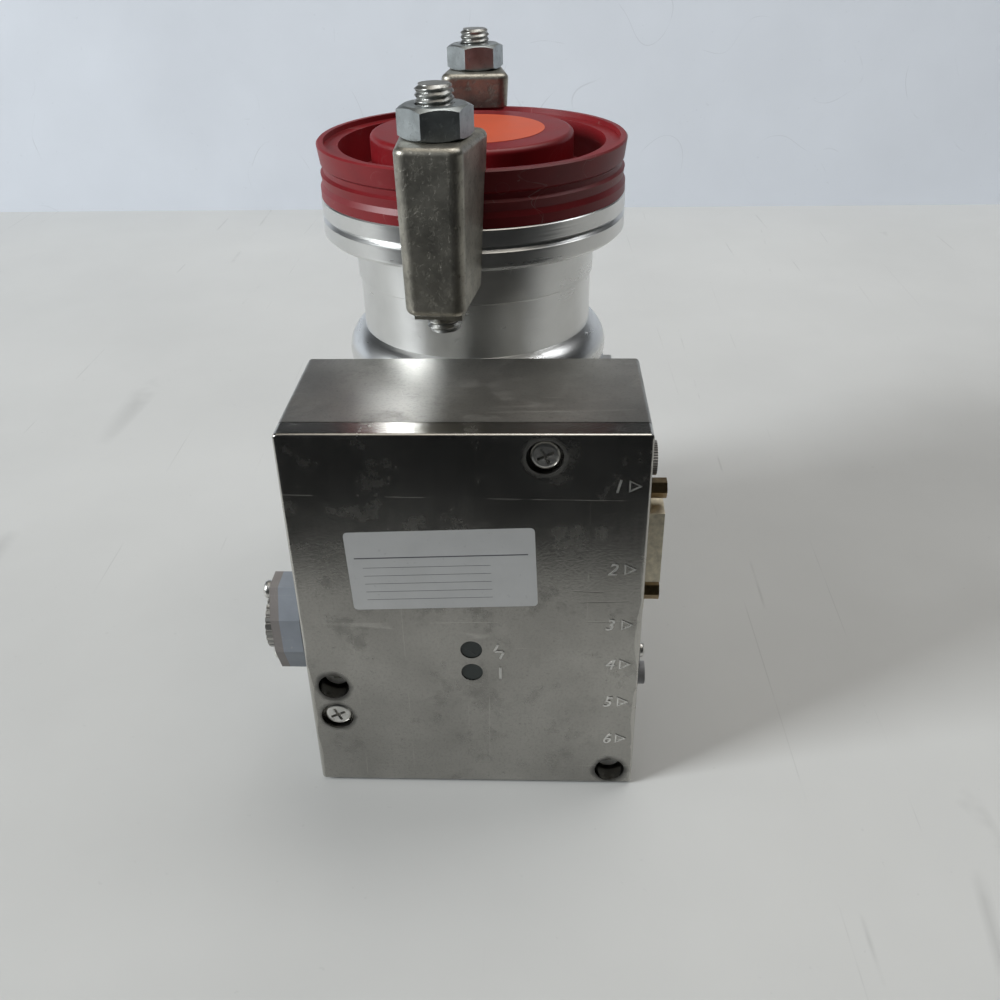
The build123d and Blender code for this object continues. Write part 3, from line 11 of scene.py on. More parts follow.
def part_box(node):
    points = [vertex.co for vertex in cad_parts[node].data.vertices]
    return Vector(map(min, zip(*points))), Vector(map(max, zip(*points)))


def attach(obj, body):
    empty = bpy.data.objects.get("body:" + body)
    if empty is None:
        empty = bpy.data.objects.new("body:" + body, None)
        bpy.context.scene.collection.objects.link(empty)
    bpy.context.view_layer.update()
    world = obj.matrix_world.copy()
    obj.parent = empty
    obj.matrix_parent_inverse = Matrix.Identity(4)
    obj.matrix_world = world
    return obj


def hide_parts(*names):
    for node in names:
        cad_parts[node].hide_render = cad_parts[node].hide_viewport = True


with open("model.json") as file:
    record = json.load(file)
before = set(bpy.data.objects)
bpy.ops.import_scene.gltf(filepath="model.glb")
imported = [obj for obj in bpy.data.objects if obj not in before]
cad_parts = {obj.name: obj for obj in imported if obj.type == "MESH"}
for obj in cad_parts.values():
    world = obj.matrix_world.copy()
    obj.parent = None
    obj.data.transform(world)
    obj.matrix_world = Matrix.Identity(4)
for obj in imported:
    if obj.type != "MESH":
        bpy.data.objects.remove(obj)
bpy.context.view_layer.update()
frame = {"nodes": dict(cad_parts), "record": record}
MM = 0.001


# ---------------------------------------------------------------- shader maths
class Signal:
    """A shader socket with arithmetic: each operation adds one Math node."""

    def __init__(self, socket):
        self.socket = socket

    def apply(self, operation, *others, first=None):
        tree = self.socket.id_data
        node = tree.nodes.new("ShaderNodeMath")
        node.operation = operation
        inputs = [self if first is None else first, *others]
        for slot, value in zip(node.inputs, inputs):
            if isinstance(value, Signal):
                tree.links.new(value.socket, slot)
            else:
                slot.default_value = value
        return Signal(node.outputs[0])

    def __add__(self, other):
        return self.apply("ADD", other)

    __radd__ = __add__

    def __mul__(self, other):
        return self.apply("MULTIPLY", other)

    __rmul__ = __mul__

    def __sub__(self, other):
        return self.apply("SUBTRACT", other)

    def __rsub__(self, other):
        return self.apply("SUBTRACT", self, first=other)

    def __truediv__(self, other):
        return self.apply("DIVIDE", other)

    def __lt__(self, other):
        return self.apply("LESS_THAN", other)

    def sin(self):
        return self.apply("SINE")

    def sqrt(self):
        return self.apply("SQRT")

    def abs(self):
        return self.apply("ABSOLUTE")

    def min(self, other):
        return self.apply("MINIMUM", other)

    def max(self, other):
        return self.apply("MAXIMUM", other)

    def angle_to(self, other):
        """The angle of the point (other, self) about the origin."""
        return self.apply("ARCTAN2", other)

    def rise(self, low, high):
        """0 below low, 1 above high, straight between."""
        return ((self - low) / (high - low)).max(0.0).min(1.0)


class Finish:
    """A material in the making: its nodes, and the sockets that vary."""

    def __init__(self, name, color, metallic=0.0, roughness=0.5):
        self.material = bpy.data.materials.new(name)
        self.material.use_nodes = True
        self.tree = self.material.node_tree
        self.shader = self.tree.nodes["Principled BSDF"]
        self.shader.inputs["Base Color"].default_value = (*color, 1.0)
        self.shader.inputs["Metallic"].default_value = metallic
        self.shader.inputs["Roughness"].default_value = roughness
        self.material.diffuse_color = (*color, 1.0)

    def node(self, kind, settings=None, **sockets):
        """A node of that type, with its settings made first and then its sockets filled."""
        node = self.tree.nodes.new(kind)
        for key, value in (settings or {}).items():
            setattr(node, key, value)
        for key, value in sockets.items():
            self.fill(node.inputs[key.replace("_", " ")], value)
        return node

    def fill(self, socket, value):
        if isinstance(value, Signal):
            value = value.socket
        if isinstance(value, bpy.types.NodeSocket):
            self.tree.links.new(value, socket)
        else:
            socket.default_value = value

    def place(self):
        """Object coordinates, in metres."""
        return self.node("ShaderNodeTexCoord").outputs["Object"]

    def axes(self, origin=(0, 0, 0)):
        """The place's x, y and z from an origin, as Signals."""
        away = self.node("ShaderNodeVectorMath", {"operation": "SUBTRACT"})
        self.fill(away.inputs[0], self.place())
        self.fill(away.inputs[1], origin)
        parts = self.node("ShaderNodeSeparateXYZ", Vector=away.outputs[0])
        return [Signal(parts.outputs[i]) for i in range(3)]

    def point(self, x, y, z):
        return self.node("ShaderNodeCombineXYZ", X=x, Y=y, Z=z).outputs[0]

    def noise(self, size, detail=4.0, roughness=0.55, stretch=(1, 1, 1), where=None):
        """Noise whose largest features are about size metres, drawn out by stretch."""
        mapping = self.node("ShaderNodeMapping", Vector=where or self.place())
        mapping.inputs["Scale"].default_value = [1 / (size * s) for s in stretch]
        texture = self.node(
            "ShaderNodeTexNoise",
            Vector=mapping.outputs[0],
            Scale=1.0,
            Detail=detail,
            Roughness=roughness,
        )
        return Signal(texture.outputs["Fac"])

    def mix(self, factor, low, high):
        """A colour between low and high."""
        node = self.node("ShaderNodeMix", {"data_type": "RGBA"})
        self.fill(node.inputs[0], factor)
        self.fill(node.inputs[6], (*low, 1.0) if isinstance(low, tuple) else low)
        self.fill(node.inputs[7], (*high, 1.0) if isinstance(high, tuple) else high)
        return node.outputs[2]

    def scratches(self, size, width, turn, spread=(1, 1, 1)):
        """Thin straight marks along one direction, broken up along their length."""
        mapping = self.node("ShaderNodeMapping", Vector=self.place())
        mapping.inputs["Rotation"].default_value = turn
        mapping.inputs["Scale"].default_value = [1 / (size * s) for s in spread]
        texture = self.node(
            "ShaderNodeTexNoise", Vector=mapping.outputs[0], Scale=1.0, Detail=1.0, Roughness=0.4
        )
        middle = (Signal(texture.outputs["Fac"]) - 0.5).abs()
        return 1 - middle.rise(0.0, width)

    def color(self, value):
        self.fill(self.shader.inputs["Base Color"], value)

    def rough(self, value):
        self.fill(self.shader.inputs["Roughness"], value)

    def bump(self, height, depth):
        """Raises the surface by height, a Signal from 0 to 1, times depth metres."""
        bump = self.node("ShaderNodeBump", Strength=1.0, Distance=depth, Height=height)
        self.fill(self.shader.inputs["Normal"], bump.outputs[0])


# ---------------------------------------------------------------- finishes
def scaled(shade, factor):
    """The shade made darker or lighter, with each channel at most 1."""
    return tuple(min(1.0, c * factor) for c in shade)


def worn_case_metal(name, shade, streak, gloss=0.15, wells=(), worn_and_highlit_edges=None):
    """Dull ground aluminium with stains, fine grain and scratches.

    wells are screw places on the lid, as (x, z), with dirt on its face round each of them.
    The edges argument is the (x, x, z) of a face's left, right and top edges: the left and right
    ones are rubbed bright by hands, and the top one is given a painted highlight.
    """
    f = Finish(name, shade, metallic=1.0, roughness=0.22)
    cloud = f.noise(0.026, detail=5.0)
    stain = f.noise(0.009, detail=6.0, roughness=0.65).rise(0.54, 0.72)
    grain = f.noise(0.0008, detail=3.0, roughness=0.6)
    specks = f.noise(0.0017, detail=3.0, roughness=0.7).rise(0.66, 0.70)
    lines = f.noise(0.0009, detail=2.0, stretch=streak)
    marks = f.scratches(0.016, 0.0030, (0.3, 0.5, 0.9), (40, 1, 1))
    marks = marks * f.noise(0.02).rise(0.50, 0.56)
    marks = marks.max(
        f.scratches(0.020, 0.0024, (0.9, -0.7, 0.2), (1, 1, 44)) * f.noise(0.017).rise(0.52, 0.58)
    )
    dark = scaled(shade, 0.50)
    light = scaled(shade, 1.35)
    tone = f.mix(cloud.rise(0.35, 0.65), scaled(shade, 0.84), scaled(shade, 1.08))
    tone = f.mix(stain * 0.45, tone, dark)
    tone = f.mix(grain.rise(0.50, 0.75) * 0.40, tone, dark)
    tone = f.mix(specks * 0.45, tone, dark)
    dirt = specks * 0.0  # clean, until a well adds its ring
    x, y, z = f.axes()
    for well_x, well_z in wells:
        away = ((x - well_x) * (x - well_x) + (z - well_z) * (z - well_z)).sqrt()
        ragged = away + 0.0022 * (f.noise(0.004) - 0.5)
        dirt = dirt.max(1 - ragged.rise(*dirt_ring))
    if wells:
        dirt = dirt * (y < lid_front + dirt_depth)
    tone = f.mix(dirt * 0.75, tone, scaled(shade, 0.16))
    rubbed = marks * 0.5
    # Bright band along the face's edges: wear on the left and right sides, and a painted highlight
    # along the top edge.
    if worn_and_highlit_edges:
        left, right, top = worn_and_highlit_edges
        ragged = 0.0016 * f.noise(0.005, stretch=(1, 1, 3)).rise(0.35, 0.75) + 0.0003
        near = (x - left).min(right - x).min(top - z)
        rubbed = rubbed.max((near < ragged) * 0.75)
    # Lighter where rubbed: real wear on the scratches and side edges, and a painted highlight along
    # the top edge.
    f.color(f.mix(rubbed, tone, light))
    f.rough(gloss + 0.10 * cloud + 0.12 * stain + 0.05 * lines + 0.35 * dirt)
    f.bump(grain * 0.5 + lines * 0.35 + stain * 0.3 - marks * 0.4, 0.00004)
    return f.material


def turned_metal(name, shade, roughness, groove):
    """Bright aluminium with the fine rings that a lathe leaves round the pump's axis."""
    f = Finish(name, shade, metallic=1.0, roughness=roughness)
    x, y, z = f.axes()
    radius = (x * x + y * y).sqrt()
    along = f.point(radius, 0.0, z)
    rings = f.noise(0.00045, detail=2.0, roughness=0.5, where=along)
    broad = f.noise(0.004, detail=3.0, where=along)
    cloud = f.noise(0.018, detail=4.0)
    dings = f.noise(0.0035, detail=2.0).rise(0.70, 0.74)
    f.color(f.mix(cloud.rise(0.3, 0.7), scaled(shade, 0.88), shade))
    f.rough(roughness + 0.10 * broad + 0.08 * cloud)
    f.bump(rings * 0.7 + broad * 0.6 - dings, groove)
    return f.material


def moulded_plastic(name, shade, roughness=0.42, grain=0.00004, wear=0.25, dust=(0.5, 0.47, 0.43)):
    """Moulded plastic with sparse straight scuffs and a little dust."""
    f = Finish(name, shade, roughness=roughness)
    fine = f.noise(0.0007, detail=3.0)
    cloud = f.noise(0.014, detail=4.0)
    scuff = f.scratches(0.011, 0.0035, (0.4, 0.2, 1.1), (34, 1, 1))
    scuff = scuff.max(f.scratches(0.012, 0.0030, (1.2, 0.6, -0.4), (1, 36, 1)))
    scuff = scuff * cloud.rise(0.52, 0.66)
    specks = f.noise(0.0013, detail=2.0).rise(0.72, 0.76)
    tone = f.mix(cloud.rise(0.3, 0.7), scaled(shade, 0.82), scaled(shade, 1.12))
    f.color(f.mix((scuff * 0.6).max(specks * 0.5) * wear, tone, dust))
    f.rough(roughness + 0.12 * cloud + 0.10 * scuff)
    f.bump(fine * 0.6 - scuff * 0.3, grain)
    return f.material


def cast_claw_metal(name, shade):
    """Rough cast metal with fine dark specks, its high places rubbed to a yellowish shine."""
    f = Finish(name, shade, metallic=1.0, roughness=0.36)
    cloud = f.noise(0.008, detail=5.0, roughness=0.6)
    specks = f.noise(0.0011, detail=3.0, roughness=0.65).rise(0.54, 0.66)
    pits = f.noise(0.0030, detail=4.0, roughness=0.6).rise(0.60, 0.70)
    rub = f.noise(0.0050, detail=3.0).rise(0.50, 0.60)
    tone = f.mix(cloud.rise(0.35, 0.65), scaled(shade, 0.75), scaled(shade, 1.15))
    tone = f.mix(rub * 0.22, tone, (0.60, 0.57, 0.48))
    tone = f.mix(specks * 0.40, tone, scaled(shade, 0.40))
    tone = f.mix(pits * 0.40, tone, (0.16, 0.15, 0.125))
    f.color(tone)
    f.rough(0.36 + 0.12 * cloud + 0.10 * specks + 0.10 * pits)
    f.bump(cloud - specks * 0.2 - pits * 0.4, 0.00012)
    return f.material


def zinc_plate(name, shade, roughness=0.34):
    """Blue-grey zinc plating, spotted and a little worn."""
    f = Finish(name, shade, metallic=1.0, roughness=roughness)
    cloud = f.noise(0.006, detail=5.0, roughness=0.6)
    spots = f.noise(0.0013, detail=3.0).rise(0.58, 0.70)
    tone = f.mix(cloud.rise(0.35, 0.65), scaled(shade, 0.78), scaled(shade, 1.15))
    f.color(f.mix(spots * 0.5, tone, scaled(shade, 0.5)))
    f.rough(roughness + 0.12 * cloud + 0.12 * spots)
    f.bump(cloud * 0.6 + spots * 0.3, 0.00008)
    return f.material


def plain_part(name, shade, metallic=0.0, roughness=0.5, size=0.002, depth=0.00004):
    """A small or hidden piece: one tone with a fine grain of its own."""
    f = Finish(name, shade, metallic=metallic, roughness=roughness)
    grain = f.noise(size, detail=3.0)
    f.color(f.mix(grain.rise(0.3, 0.7), scaled(shade, 0.8), scaled(shade, 1.15)))
    f.rough(roughness + 0.1 * grain - 0.05)
    f.bump(grain, depth)
    return f.material


def printed_foil(name, shade, roughness):
    """A printed sticker's face: even, with faint creases and rubbed specks."""
    f = Finish(name, shade, roughness=roughness)
    cloud = f.noise(0.010, detail=3.0)
    crease = f.scratches(0.016, 0.003, (0.2, 0.4, 0.7), (30, 1, 1))
    specks = f.noise(0.0012, detail=3.0).rise(0.66, 0.72)
    tone = f.mix(cloud.rise(0.3, 0.7), scaled(shade, 0.92), shade)
    f.color(f.mix(specks * 0.25, tone, scaled(shade, 0.5)))
    f.rough(roughness + 0.08 * cloud)
    f.bump(cloud * 0.4 - crease * 0.3, 0.00004)
    return f.material


def knurled_metal(name, shade, centre, ridges):
    """A dull metal rim with fine ridges round a centre, given as (y, z), facing sideways."""
    f = Finish(name, shade, metallic=0.8, roughness=0.40)
    x, y, z = f.axes((0, centre[0], centre[1]))
    turn = y.angle_to(z)
    away = (y * y + z * z).sqrt()
    ridge = (turn * ridges).sin() * 0.5 + 0.5
    rim = away.rise(4.0 * MM, 4.2 * MM)
    cloud = f.noise(0.003, detail=3.0)
    f.color(f.mix(ridge * rim * 0.8 + cloud * 0.2, scaled(shade, 0.35), shade))
    f.rough(0.34 + 0.14 * cloud)
    f.bump(ridge * rim, 0.00030)
    return f.material


lid_low, lid_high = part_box("drive_lid")
lid_front, lid_left, lid_right = lid_low.y, lid_low.x, lid_high.x
lid_middle = (lid_left + lid_right) / 2
screw_wells = [(20.4, 113.0), (-39.8, 26.5), (-39.8, 37.8), (40.3, 6.1)]  # x, z in mm
well_places = [(lid_middle + x * MM, z * MM) for x, z in screw_wells]
dirt_ring = (4.6 * MM, 6.0 * MM)  # full dirt inside the first radius, none past the second
dirt_depth = 0.4 * MM  # dirt lies on the lid's face, and not down its wells
along_x = (26, 1, 1)
along_z = (1, 1, 26)
case_metal = worn_case_metal("case_metal", (0.42, 0.41, 0.385), along_x, gloss=0.30)
lid_metal = worn_case_metal(
    "lid_metal",
    (0.38, 0.37, 0.345),
    along_z,
    wells=well_places,
    # The lid's left and right edges are worn bright, and its top edge gets a painted highlight.
    worn_and_highlit_edges=(lid_left, lid_right, lid_high.z),
)
mark_metal = worn_case_metal("mark_metal", (0.78, 0.77, 0.74), along_x, gloss=0.34)
casing_metal = turned_metal("casing_metal", (0.78, 0.78, 0.765), 0.20, 0.00006)
housing_metal = turned_metal("housing_metal", (0.66, 0.66, 0.655), 0.28, 0.00006)
blade_metal = plain_part("blade_metal", (0.74, 0.75, 0.76), metallic=1.0, roughness=0.30)
claw_metal = cast_claw_metal("claw_metal", (0.40, 0.38, 0.33))
zinc = zinc_plate("zinc", (0.48, 0.515, 0.52))
screw_steel = zinc_plate("screw_steel", (0.66, 0.65, 0.62), roughness=0.26)
# Drive screw steel is lighter and less metallic than the other screws: painted light for screw
# heads that sit in shaded wells.
socket_steel = plain_part("socket_steel", (0.74, 0.73, 0.70), metallic=0.25, roughness=0.45)
ground_steel = plain_part("ground_steel", (0.62, 0.62, 0.63), metallic=1.0, roughness=0.25)
polished_steel = plain_part("polished_steel", (0.78, 0.78, 0.79), metallic=1.0, roughness=0.12)
dark_steel = plain_part("dark_steel", (0.28, 0.28, 0.29), metallic=1.0, roughness=0.4)
brass = plain_part("brass", (0.60, 0.46, 0.22), metallic=1.0, roughness=0.32)
dark_brass = plain_part("dark_brass", (0.30, 0.22, 0.12), metallic=1.0, roughness=0.34, size=0.0012)
shell_metal = plain_part(
    "shell_metal", (0.66, 0.60, 0.47), metallic=0.7, roughness=0.38, size=0.0015
)
upper_socket = (-89.0 * MM, 105.0 * MM)  # y, z
socket_rim = knurled_metal("socket_rim", (0.34, 0.33, 0.31), upper_socket, ridges=40)
copper = plain_part("copper", (0.62, 0.32, 0.17), metallic=1.0, roughness=0.35)
cap_plastic = moulded_plastic("cap_plastic", (0.20, 0.004, 0.008), roughness=0.38, wear=0.45)
grey_plastic = moulded_plastic("grey_plastic", (0.24, 0.26, 0.29), roughness=0.50, wear=0.5)
ring_plastic = moulded_plastic("ring_plastic", (0.22, 0.20, 0.19), roughness=0.45, wear=0.5)
socket_plastic = moulded_plastic("socket_plastic", (0.30, 0.30, 0.31), roughness=0.45)
black_plastic = moulded_plastic("black_plastic", (0.02, 0.02, 0.02), roughness=0.40, wear=0.3)
window_plastic = moulded_plastic("window_plastic", (0.018, 0.024, 0.022), roughness=0.22, wear=0.3)
rubber = plain_part("rubber", (0.02, 0.02, 0.02), roughness=0.7)
felt = plain_part("felt", (0.62, 0.56, 0.42), roughness=0.95, size=0.0006, depth=0.0002)
cage_plastic = plain_part("cage_plastic", (0.52, 0.42, 0.26), roughness=0.5)
carbon = plain_part("carbon", (0.04, 0.04, 0.045), roughness=0.3)
board_lacquer = plain_part("board_lacquer", (0.02, 0.14, 0.06), roughness=0.35)
capacitor_sleeve = plain_part("capacitor_sleeve", (0.02, 0.03, 0.09), roughness=0.3)

finish_of_slot = {
    "turned_aluminium": casing_metal,
    "housing_aluminium": housing_metal,
    "case_aluminium": case_metal,
    "cap_plastic": cap_plastic,
    "claw_metal": claw_metal,
    "zinc_steel": screw_steel,
    "steel": ground_steel,
    "bearing_steel": polished_steel,
    "rotor_aluminium": blade_metal,
    "black_rubber": rubber,
    "felt": felt,
    "cage_plastic": cage_plastic,
    "carbon_sleeve": carbon,
    "magnet": dark_steel,
    "copper": copper,
    "lamination": dark_steel,
    "board_green": board_lacquer,
    "black_plastic": black_plastic,
    "capacitor_sleeve": capacitor_sleeve,
    "window_plastic": window_plastic,
    "connector_grey": grey_plastic,
    "ring_grey": ring_plastic,
    "disc_metal": case_metal,
    "brass": brass,
    "socket_grey": socket_plastic,
}
for part in frame["record"]["subparts"]:
    node = frame["nodes"][part["node"]]
    node.data.materials.clear()
    node.data.materials.append(finish_of_slot[part["material_slot"]])
for name, finish in {
    "front_nut": zinc,
    "rear_nut": zinc,
    "drive_lid": lid_metal,
    "drive_screws": socket_steel,
    "remote_connector_shell": shell_metal,
    "remote_jackscrews": dark_brass,
    "wall_sockets": socket_rim,
}.items():
    frame["nodes"][name].data.materials[0] = finish


# ---------------------------------------------------------------- piece helpers
def finished(name, mesh_maker, material, body):
    """Makes a mesh object from a bmesh that mesh_maker fills, and rides it on a body."""
    bm = bmesh.new()
    mesh_maker(bm)
    bmesh.ops.recalc_face_normals(bm, faces=bm.faces)
    mesh = bpy.data.meshes.new(name)
    bm.to_mesh(mesh)
    bm.free()
    mesh.materials.append(material)
    piece = bpy.data.objects.new(name, mesh)
    bpy.context.scene.collection.objects.link(piece)
    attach(piece, body)
    return piece


def rounded(bm, edges, width, segments=2):
    bmesh.ops.bevel(
        bm, geom=edges, offset=width, segments=segments, profile=0.5, affect="EDGES", material=-1
    )


def block(bm, size, place):
    """Adds a box of that size, in metres, centred on a place, and returns its edges."""
    made = bmesh.ops.create_cube(bm, size=1.0, matrix=place @ Matrix.Diagonal((*size, 1)))
    return list({e for v in made["verts"] for e in v.link_edges})


def on_lid(x, z, depth=0.0):
    """A place on the lid's face: x from its middle and z above the base in mm, depth inwards."""
    return Matrix.Translation((lid_middle + x * MM, lid_front + depth * MM, z * MM))


# ---------------------------------------------------------------- label on the lid
label_size = (50.0 * MM, 0.25 * MM, 25.0 * MM)
label_corner = 1.2 * MM
label_tilt = radians(-2.06)
label_place = on_lid(-6.7, 79.1, 0.1) @ Matrix.Rotation(label_tilt, 4, "Y")
rule_thickness = 0.03 * MM


def label_plate(bm):
    edges = block(bm, label_size, label_place)
    upright = [e for e in edges if abs(e.calc_length() - label_size[1]) < 1e-6]
    rounded(bm, upright, label_corner, segments=4)


def label_rules(bm):
    """One heavy rule across the label and thin ones for its empty rows."""
    rules = [(0.0, 4.3, 46.0, 0.35)]  # x, z, width and height in mm
    rules += [(-4.0, 1.2 - 2.6 * row, 34.0, 0.12) for row in range(5)]
    for x, z, width, height in rules:
        place = label_place @ Matrix.Translation((x * MM, -0.5 * label_size[1], z * MM))
        block(bm, (width * MM, rule_thickness, height * MM), place)


label_paper = printed_foil("label_paper", (0.54, 0.54, 0.53), 0.36)
label_line = printed_foil("label_line", (0.10, 0.10, 0.11), 0.45)
finished("label_plate", label_plate, label_paper, "pump")
finished("label_rules", label_rules, label_line, "pump")

# ---------------------------------------------------------------- marks cast on the lid
mark_rise = 0.22 * MM
arrow_size = 3.4 * MM
arrow_stroke = 0.45 * MM
number_height = 5.2 * MM
port_rows = [  # each arrow's height, and how far its number stands from the lid's right edge
    (105.0, 9.4),
    (79.7, 9.6),
    (61.3, 9.8),
    (47.4, 9.2),
    (33.5, 9.4),
    (19.2, 9.0),
]


def arrow_ring(bm, place, size, stroke):
    """An open triangle pointing right, as a raised outline."""
    rings = []
    for reach in (size / 2, size / 2 - stroke):
        corners = [(-reach * 0.8, reach), (reach * 1.1, 0), (-reach * 0.8, -reach)]
        rings.append(
            [[bm.verts.new(place @ Vector((x, y, z))) for x, z in corners] for y in (0, -mark_rise)]
        )
    (outer_back, outer), (inner_back, inner) = rings
    for i in range(3):
        j = (i + 1) % 3
        bm.faces.new((outer[i], outer[j], inner[j], inner[i]))
        bm.faces.new((outer_back[i], outer_back[j], inner_back[j], inner_back[i]))
        bm.faces.new((outer[i], outer[j], outer_back[j], outer_back[i]))
        bm.faces.new((inner[i], inner[j], inner_back[j], inner_back[i]))


def add_number(bm, text, place, height):
    """Adds an upright, slanting number, raised from the lid."""
    curve = bpy.data.curves.new("number", "FONT")
    curve.body = text
    curve.size = height
    curve.shear = 0.25
    curve.extrude = mark_rise
    curve.align_x = "RIGHT"
    holder = bpy.data.objects.new("number", curve)
    bpy.context.scene.collection.objects.link(holder)
    mesh = bpy.data.meshes.new_from_object(holder)
    mesh.transform(place @ Matrix.Rotation(pi / 2, 4, "X"))
    bm.from_mesh(mesh)
    bpy.data.objects.remove(holder)
    bpy.data.curves.remove(curve)
    bpy.data.meshes.remove(mesh)


def port_marks(bm):
    half_width = (lid_right - lid_left) / 2 / MM
    for number, (height, from_edge) in enumerate(port_rows, start=1):
        arrow_ring(bm, on_lid(half_width - 4.2, height), arrow_size, arrow_stroke)
        number_place = on_lid(half_width - from_edge + 2.2, height - 1.8)
        add_number(bm, str(number), number_place, number_height)


def lamp_marks(bm):
    """Raised bars beside the two small windows."""
    for x, z, width, height, lean in (
        (7.2, 52.9, 0.6, 2.6, 24),
        (8.7, 50.2, 0.6, 2.6, 24),
        (7.9, 51.6, 2.2, 0.6, 0),
        (8.2, 43.8, 0.7, 4.0, 0),
    ):
        place = on_lid(x, z) @ Matrix.Rotation(radians(lean), 4, "Y")
        block(bm, (width * MM, 2 * mark_rise, height * MM), place)


finished("port_marks", port_marks, mark_metal, "pump")
finished("lamp_marks", lamp_marks, mark_metal, "pump")

# ---------------------------------------------------------------- sticker on the cap
cap_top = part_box("transit_cap")[1].z
sticker_radius = 22.0 * MM
sticker_thickness = 0.15 * MM
sticker_paper = printed_foil("sticker_paper", (0.62, 0.10, 0.04), 0.45)


def sticker(bm):
    centre = Matrix.Translation((0.3 * MM, 0.5 * MM, cap_top + 0.02 * MM))
    bmesh.ops.create_cone(
        bm,
        cap_ends=True,
        segments=96,
        radius1=sticker_radius,
        radius2=sticker_radius,
        depth=sticker_thickness,
        matrix=centre,
    )


finished("cap_sticker", sticker, sticker_paper, "pump")

# ---------------------------------------------------------------- threaded studs
stud_radius = 5.0 * MM
thread_pitch = 1.5 * MM
thread_depth = 0.65 * MM
plain_step = 3.0 * MM
stud_chamfer = 1.2 * MM
stud_low, stud_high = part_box("clamp_studs")
thread_reach = {"top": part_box("front_nut")[0].z - 1.0 * MM, "bottom": stud_low.z + 7.0 * MM}


def threaded_stud(bm, centre):
    """A stud on an upright axis, with a thread on both ends."""

    def is_threaded(height):
        return height > thread_reach["top"] or height < thread_reach["bottom"]

    around = 48
    heights = []
    height = stud_low.z
    while height < stud_high.z - 1e-6:
        heights.append(height)
        height += thread_pitch / 8 if is_threaded(height) else plain_step
    heights.append(stud_high.z)
    rows = []
    for height in heights:
        end = max(0.0, stud_chamfer - min(height - stud_low.z, stud_high.z - height))
        row = []
        for step in range(around):
            turn = 2 * pi * step / around
            phase = (height / thread_pitch - step / around) % 1.0
            valley = 1 - abs(2 * phase - 1)
            cut = thread_depth * valley if is_threaded(height) else 0.0
            radius = stud_radius - cut - 0.6 * end
            x, y = centre.x + radius * cos(turn), centre.y + radius * sin(turn)
            row.append(bm.verts.new((x, y, height)))
        rows.append(row)
    for low, high in zip(rows, rows[1:]):
        for i in range(around):
            j = (i + 1) % around
            bm.faces.new((low[i], low[j], high[j], high[i]))
    bm.faces.new(rows[0])
    bm.faces.new(rows[-1])


def studs(bm):
    for name in ("front_nut", "rear_nut"):
        low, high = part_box(name)
        threaded_stud(bm, (low + high) / 2)


thread_metal = zinc_plate("thread_metal", (0.42, 0.42, 0.40), roughness=0.32)
stud_piece = finished("threaded_studs", studs, thread_metal, "pump")
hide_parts("clamp_studs")

# ---------------------------------------------------------------- floor, light, camera
def stage_sheet(name, corners, material):
    """A flat piece of the room, which isn't part of the object."""
    mesh = bpy.data.meshes.new(name)
    mesh.from_pydata(corners, [], [(0, 1, 2, 3)])
    mesh.materials.append(material)
    sheet = bpy.data.objects.new(name, mesh)
    bpy.context.scene.collection.objects.link(sheet)


def painted_board(name, shade, roughness):
    """Pale paint with faint clouds and a few long hairline marks."""
    f = Finish(name, shade, roughness=roughness)
    cloud = f.noise(0.12, detail=4.0)
    hairs = f.scratches(0.09, 0.0022, (0.0, 0.0, 0.5), (1, 30, 1)) * f.noise(0.08).rise(0.54, 0.62)
    hairs = hairs.max(
        f.scratches(0.11, 0.0018, (0.0, 0.0, -1.0), (1, 30, 1)) * f.noise(0.06).rise(0.55, 0.62)
    )
    specks = f.noise(0.0035, detail=2.0).rise(0.72, 0.75)
    tone = f.mix(cloud.rise(0.3, 0.7), scaled(shade, 0.95), scaled(shade, 1.03))
    f.color(f.mix((hairs * 0.35).max(specks * 0.12), tone, scaled(shade, 0.55)))
    f.rough(roughness + 0.08 * cloud)
    return f.material


table_front = -0.215
wall_place = 0.545
wall_top = 0.34
room_half = 1.8
stage_sheet(
    "table_top",
    [
        (-room_half, table_front, 0),
        (room_half, table_front, 0),
        (room_half, wall_place, 0),
        (-room_half, wall_place, 0),
    ],
    painted_board("table_paint", (0.60, 0.60, 0.585), 0.45),
)
stage_sheet(
    "wall",
    [
        (-room_half, wall_place, 0),
        (room_half, wall_place, 0),
        (room_half, wall_place, wall_top),
        (-room_half, wall_place, wall_top),
    ],
    painted_board("wall_paint", (0.66, 0.69, 0.74), 0.9),
)

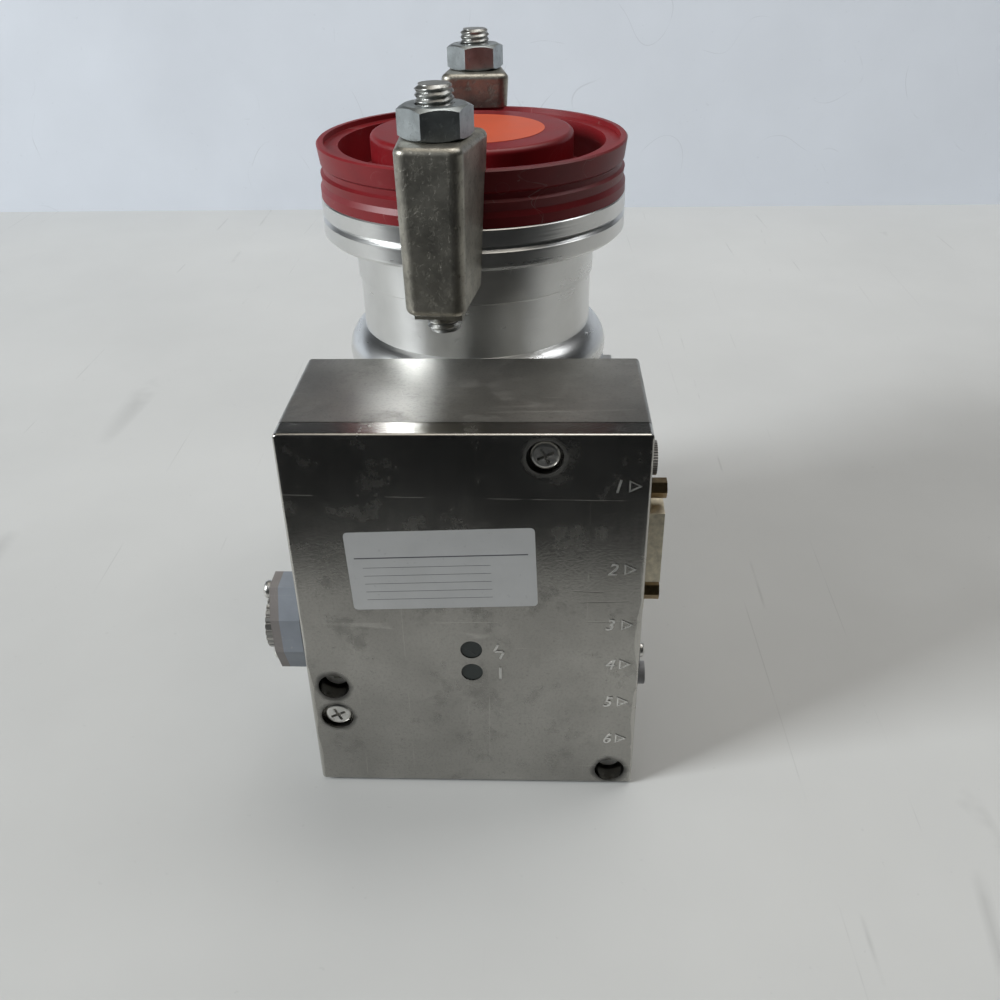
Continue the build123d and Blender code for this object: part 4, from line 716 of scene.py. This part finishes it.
unlit_room = (0.016, 0.017, 0.018)  # what the pump's metal reflects past the lamps
pale_backdrop = (0.55, 0.57, 0.60)  # what the camera sees there
world = bpy.data.worlds.new("room")
bpy.context.scene.world = world
world.use_nodes = True
sky = world.node_tree.nodes["Background"]
sky.inputs["Strength"].default_value = 1.0
seen = world.node_tree.nodes.new("ShaderNodeLightPath")
backdrop = world.node_tree.nodes.new("ShaderNodeMix")
backdrop.data_type = "RGBA"
backdrop.inputs[6].default_value = (*unlit_room, 1)
backdrop.inputs[7].default_value = (*pale_backdrop, 1)
world.node_tree.links.new(seen.outputs["Is Camera Ray"], backdrop.inputs[0])
world.node_tree.links.new(backdrop.outputs[2], sky.inputs["Color"])


def soft_lamp(name, place, aim, size, power, tint):
    lamp = bpy.data.lights.new(name, "AREA")
    lamp.shape = "RECTANGLE"
    lamp.size, lamp.size_y = size
    lamp.energy = power
    lamp.color = tint
    holder = bpy.data.objects.new(name, lamp)
    bpy.context.scene.collection.objects.link(holder)
    holder.location = place
    holder.rotation_euler = (Vector(aim) - Vector(place)).to_track_quat("-Z", "Y").to_euler()


soft_lamp("window", (-1.72, -0.80, 1.05), (0, 0, 0.08), (0.65, 0.75), 45.0, (0.93, 0.97, 1.0))
soft_lamp("ceiling", (0.15, 0.12, 1.30), (0.1, 0.12, 0), (1.5, 1.0), 5.6, (1.0, 0.95, 0.86))
soft_lamp("wall_wash", (0.45, 0.15, 0.85), (0.40, 0.545, 0.10), (0.9, 0.3), 3.0, (0.96, 0.98, 1.0))

camera_data = bpy.data.cameras.new("camera")
camera_data.sensor_width = 36.0
camera_data.lens = 36.09
camera = bpy.data.objects.new("camera", camera_data)
bpy.context.scene.collection.objects.link(camera)
bpy.context.scene.camera = camera
camera_place = (20.77 * MM, -320.49 * MM, 232.31 * MM)
camera_pitch = radians(31.24)
camera_yaw = radians(-2.57)
camera_roll = radians(1.13)
ahead = Vector(
    (sin(camera_yaw) * cos(camera_pitch), cos(camera_yaw) * cos(camera_pitch), -sin(camera_pitch))
)
side = Vector((cos(camera_yaw), -sin(camera_yaw), 0))
down = ahead.cross(side)
side_rolled = side * cos(camera_roll) + down * sin(camera_roll)
down_rolled = down * cos(camera_roll) - side * sin(camera_roll)
camera.matrix_world = Matrix.Translation(camera_place) @ Matrix(
    (side_rolled, -down_rolled, -ahead)
).transposed().to_4x4()
bpy.context.scene.view_settings.view_transform = "Standard"
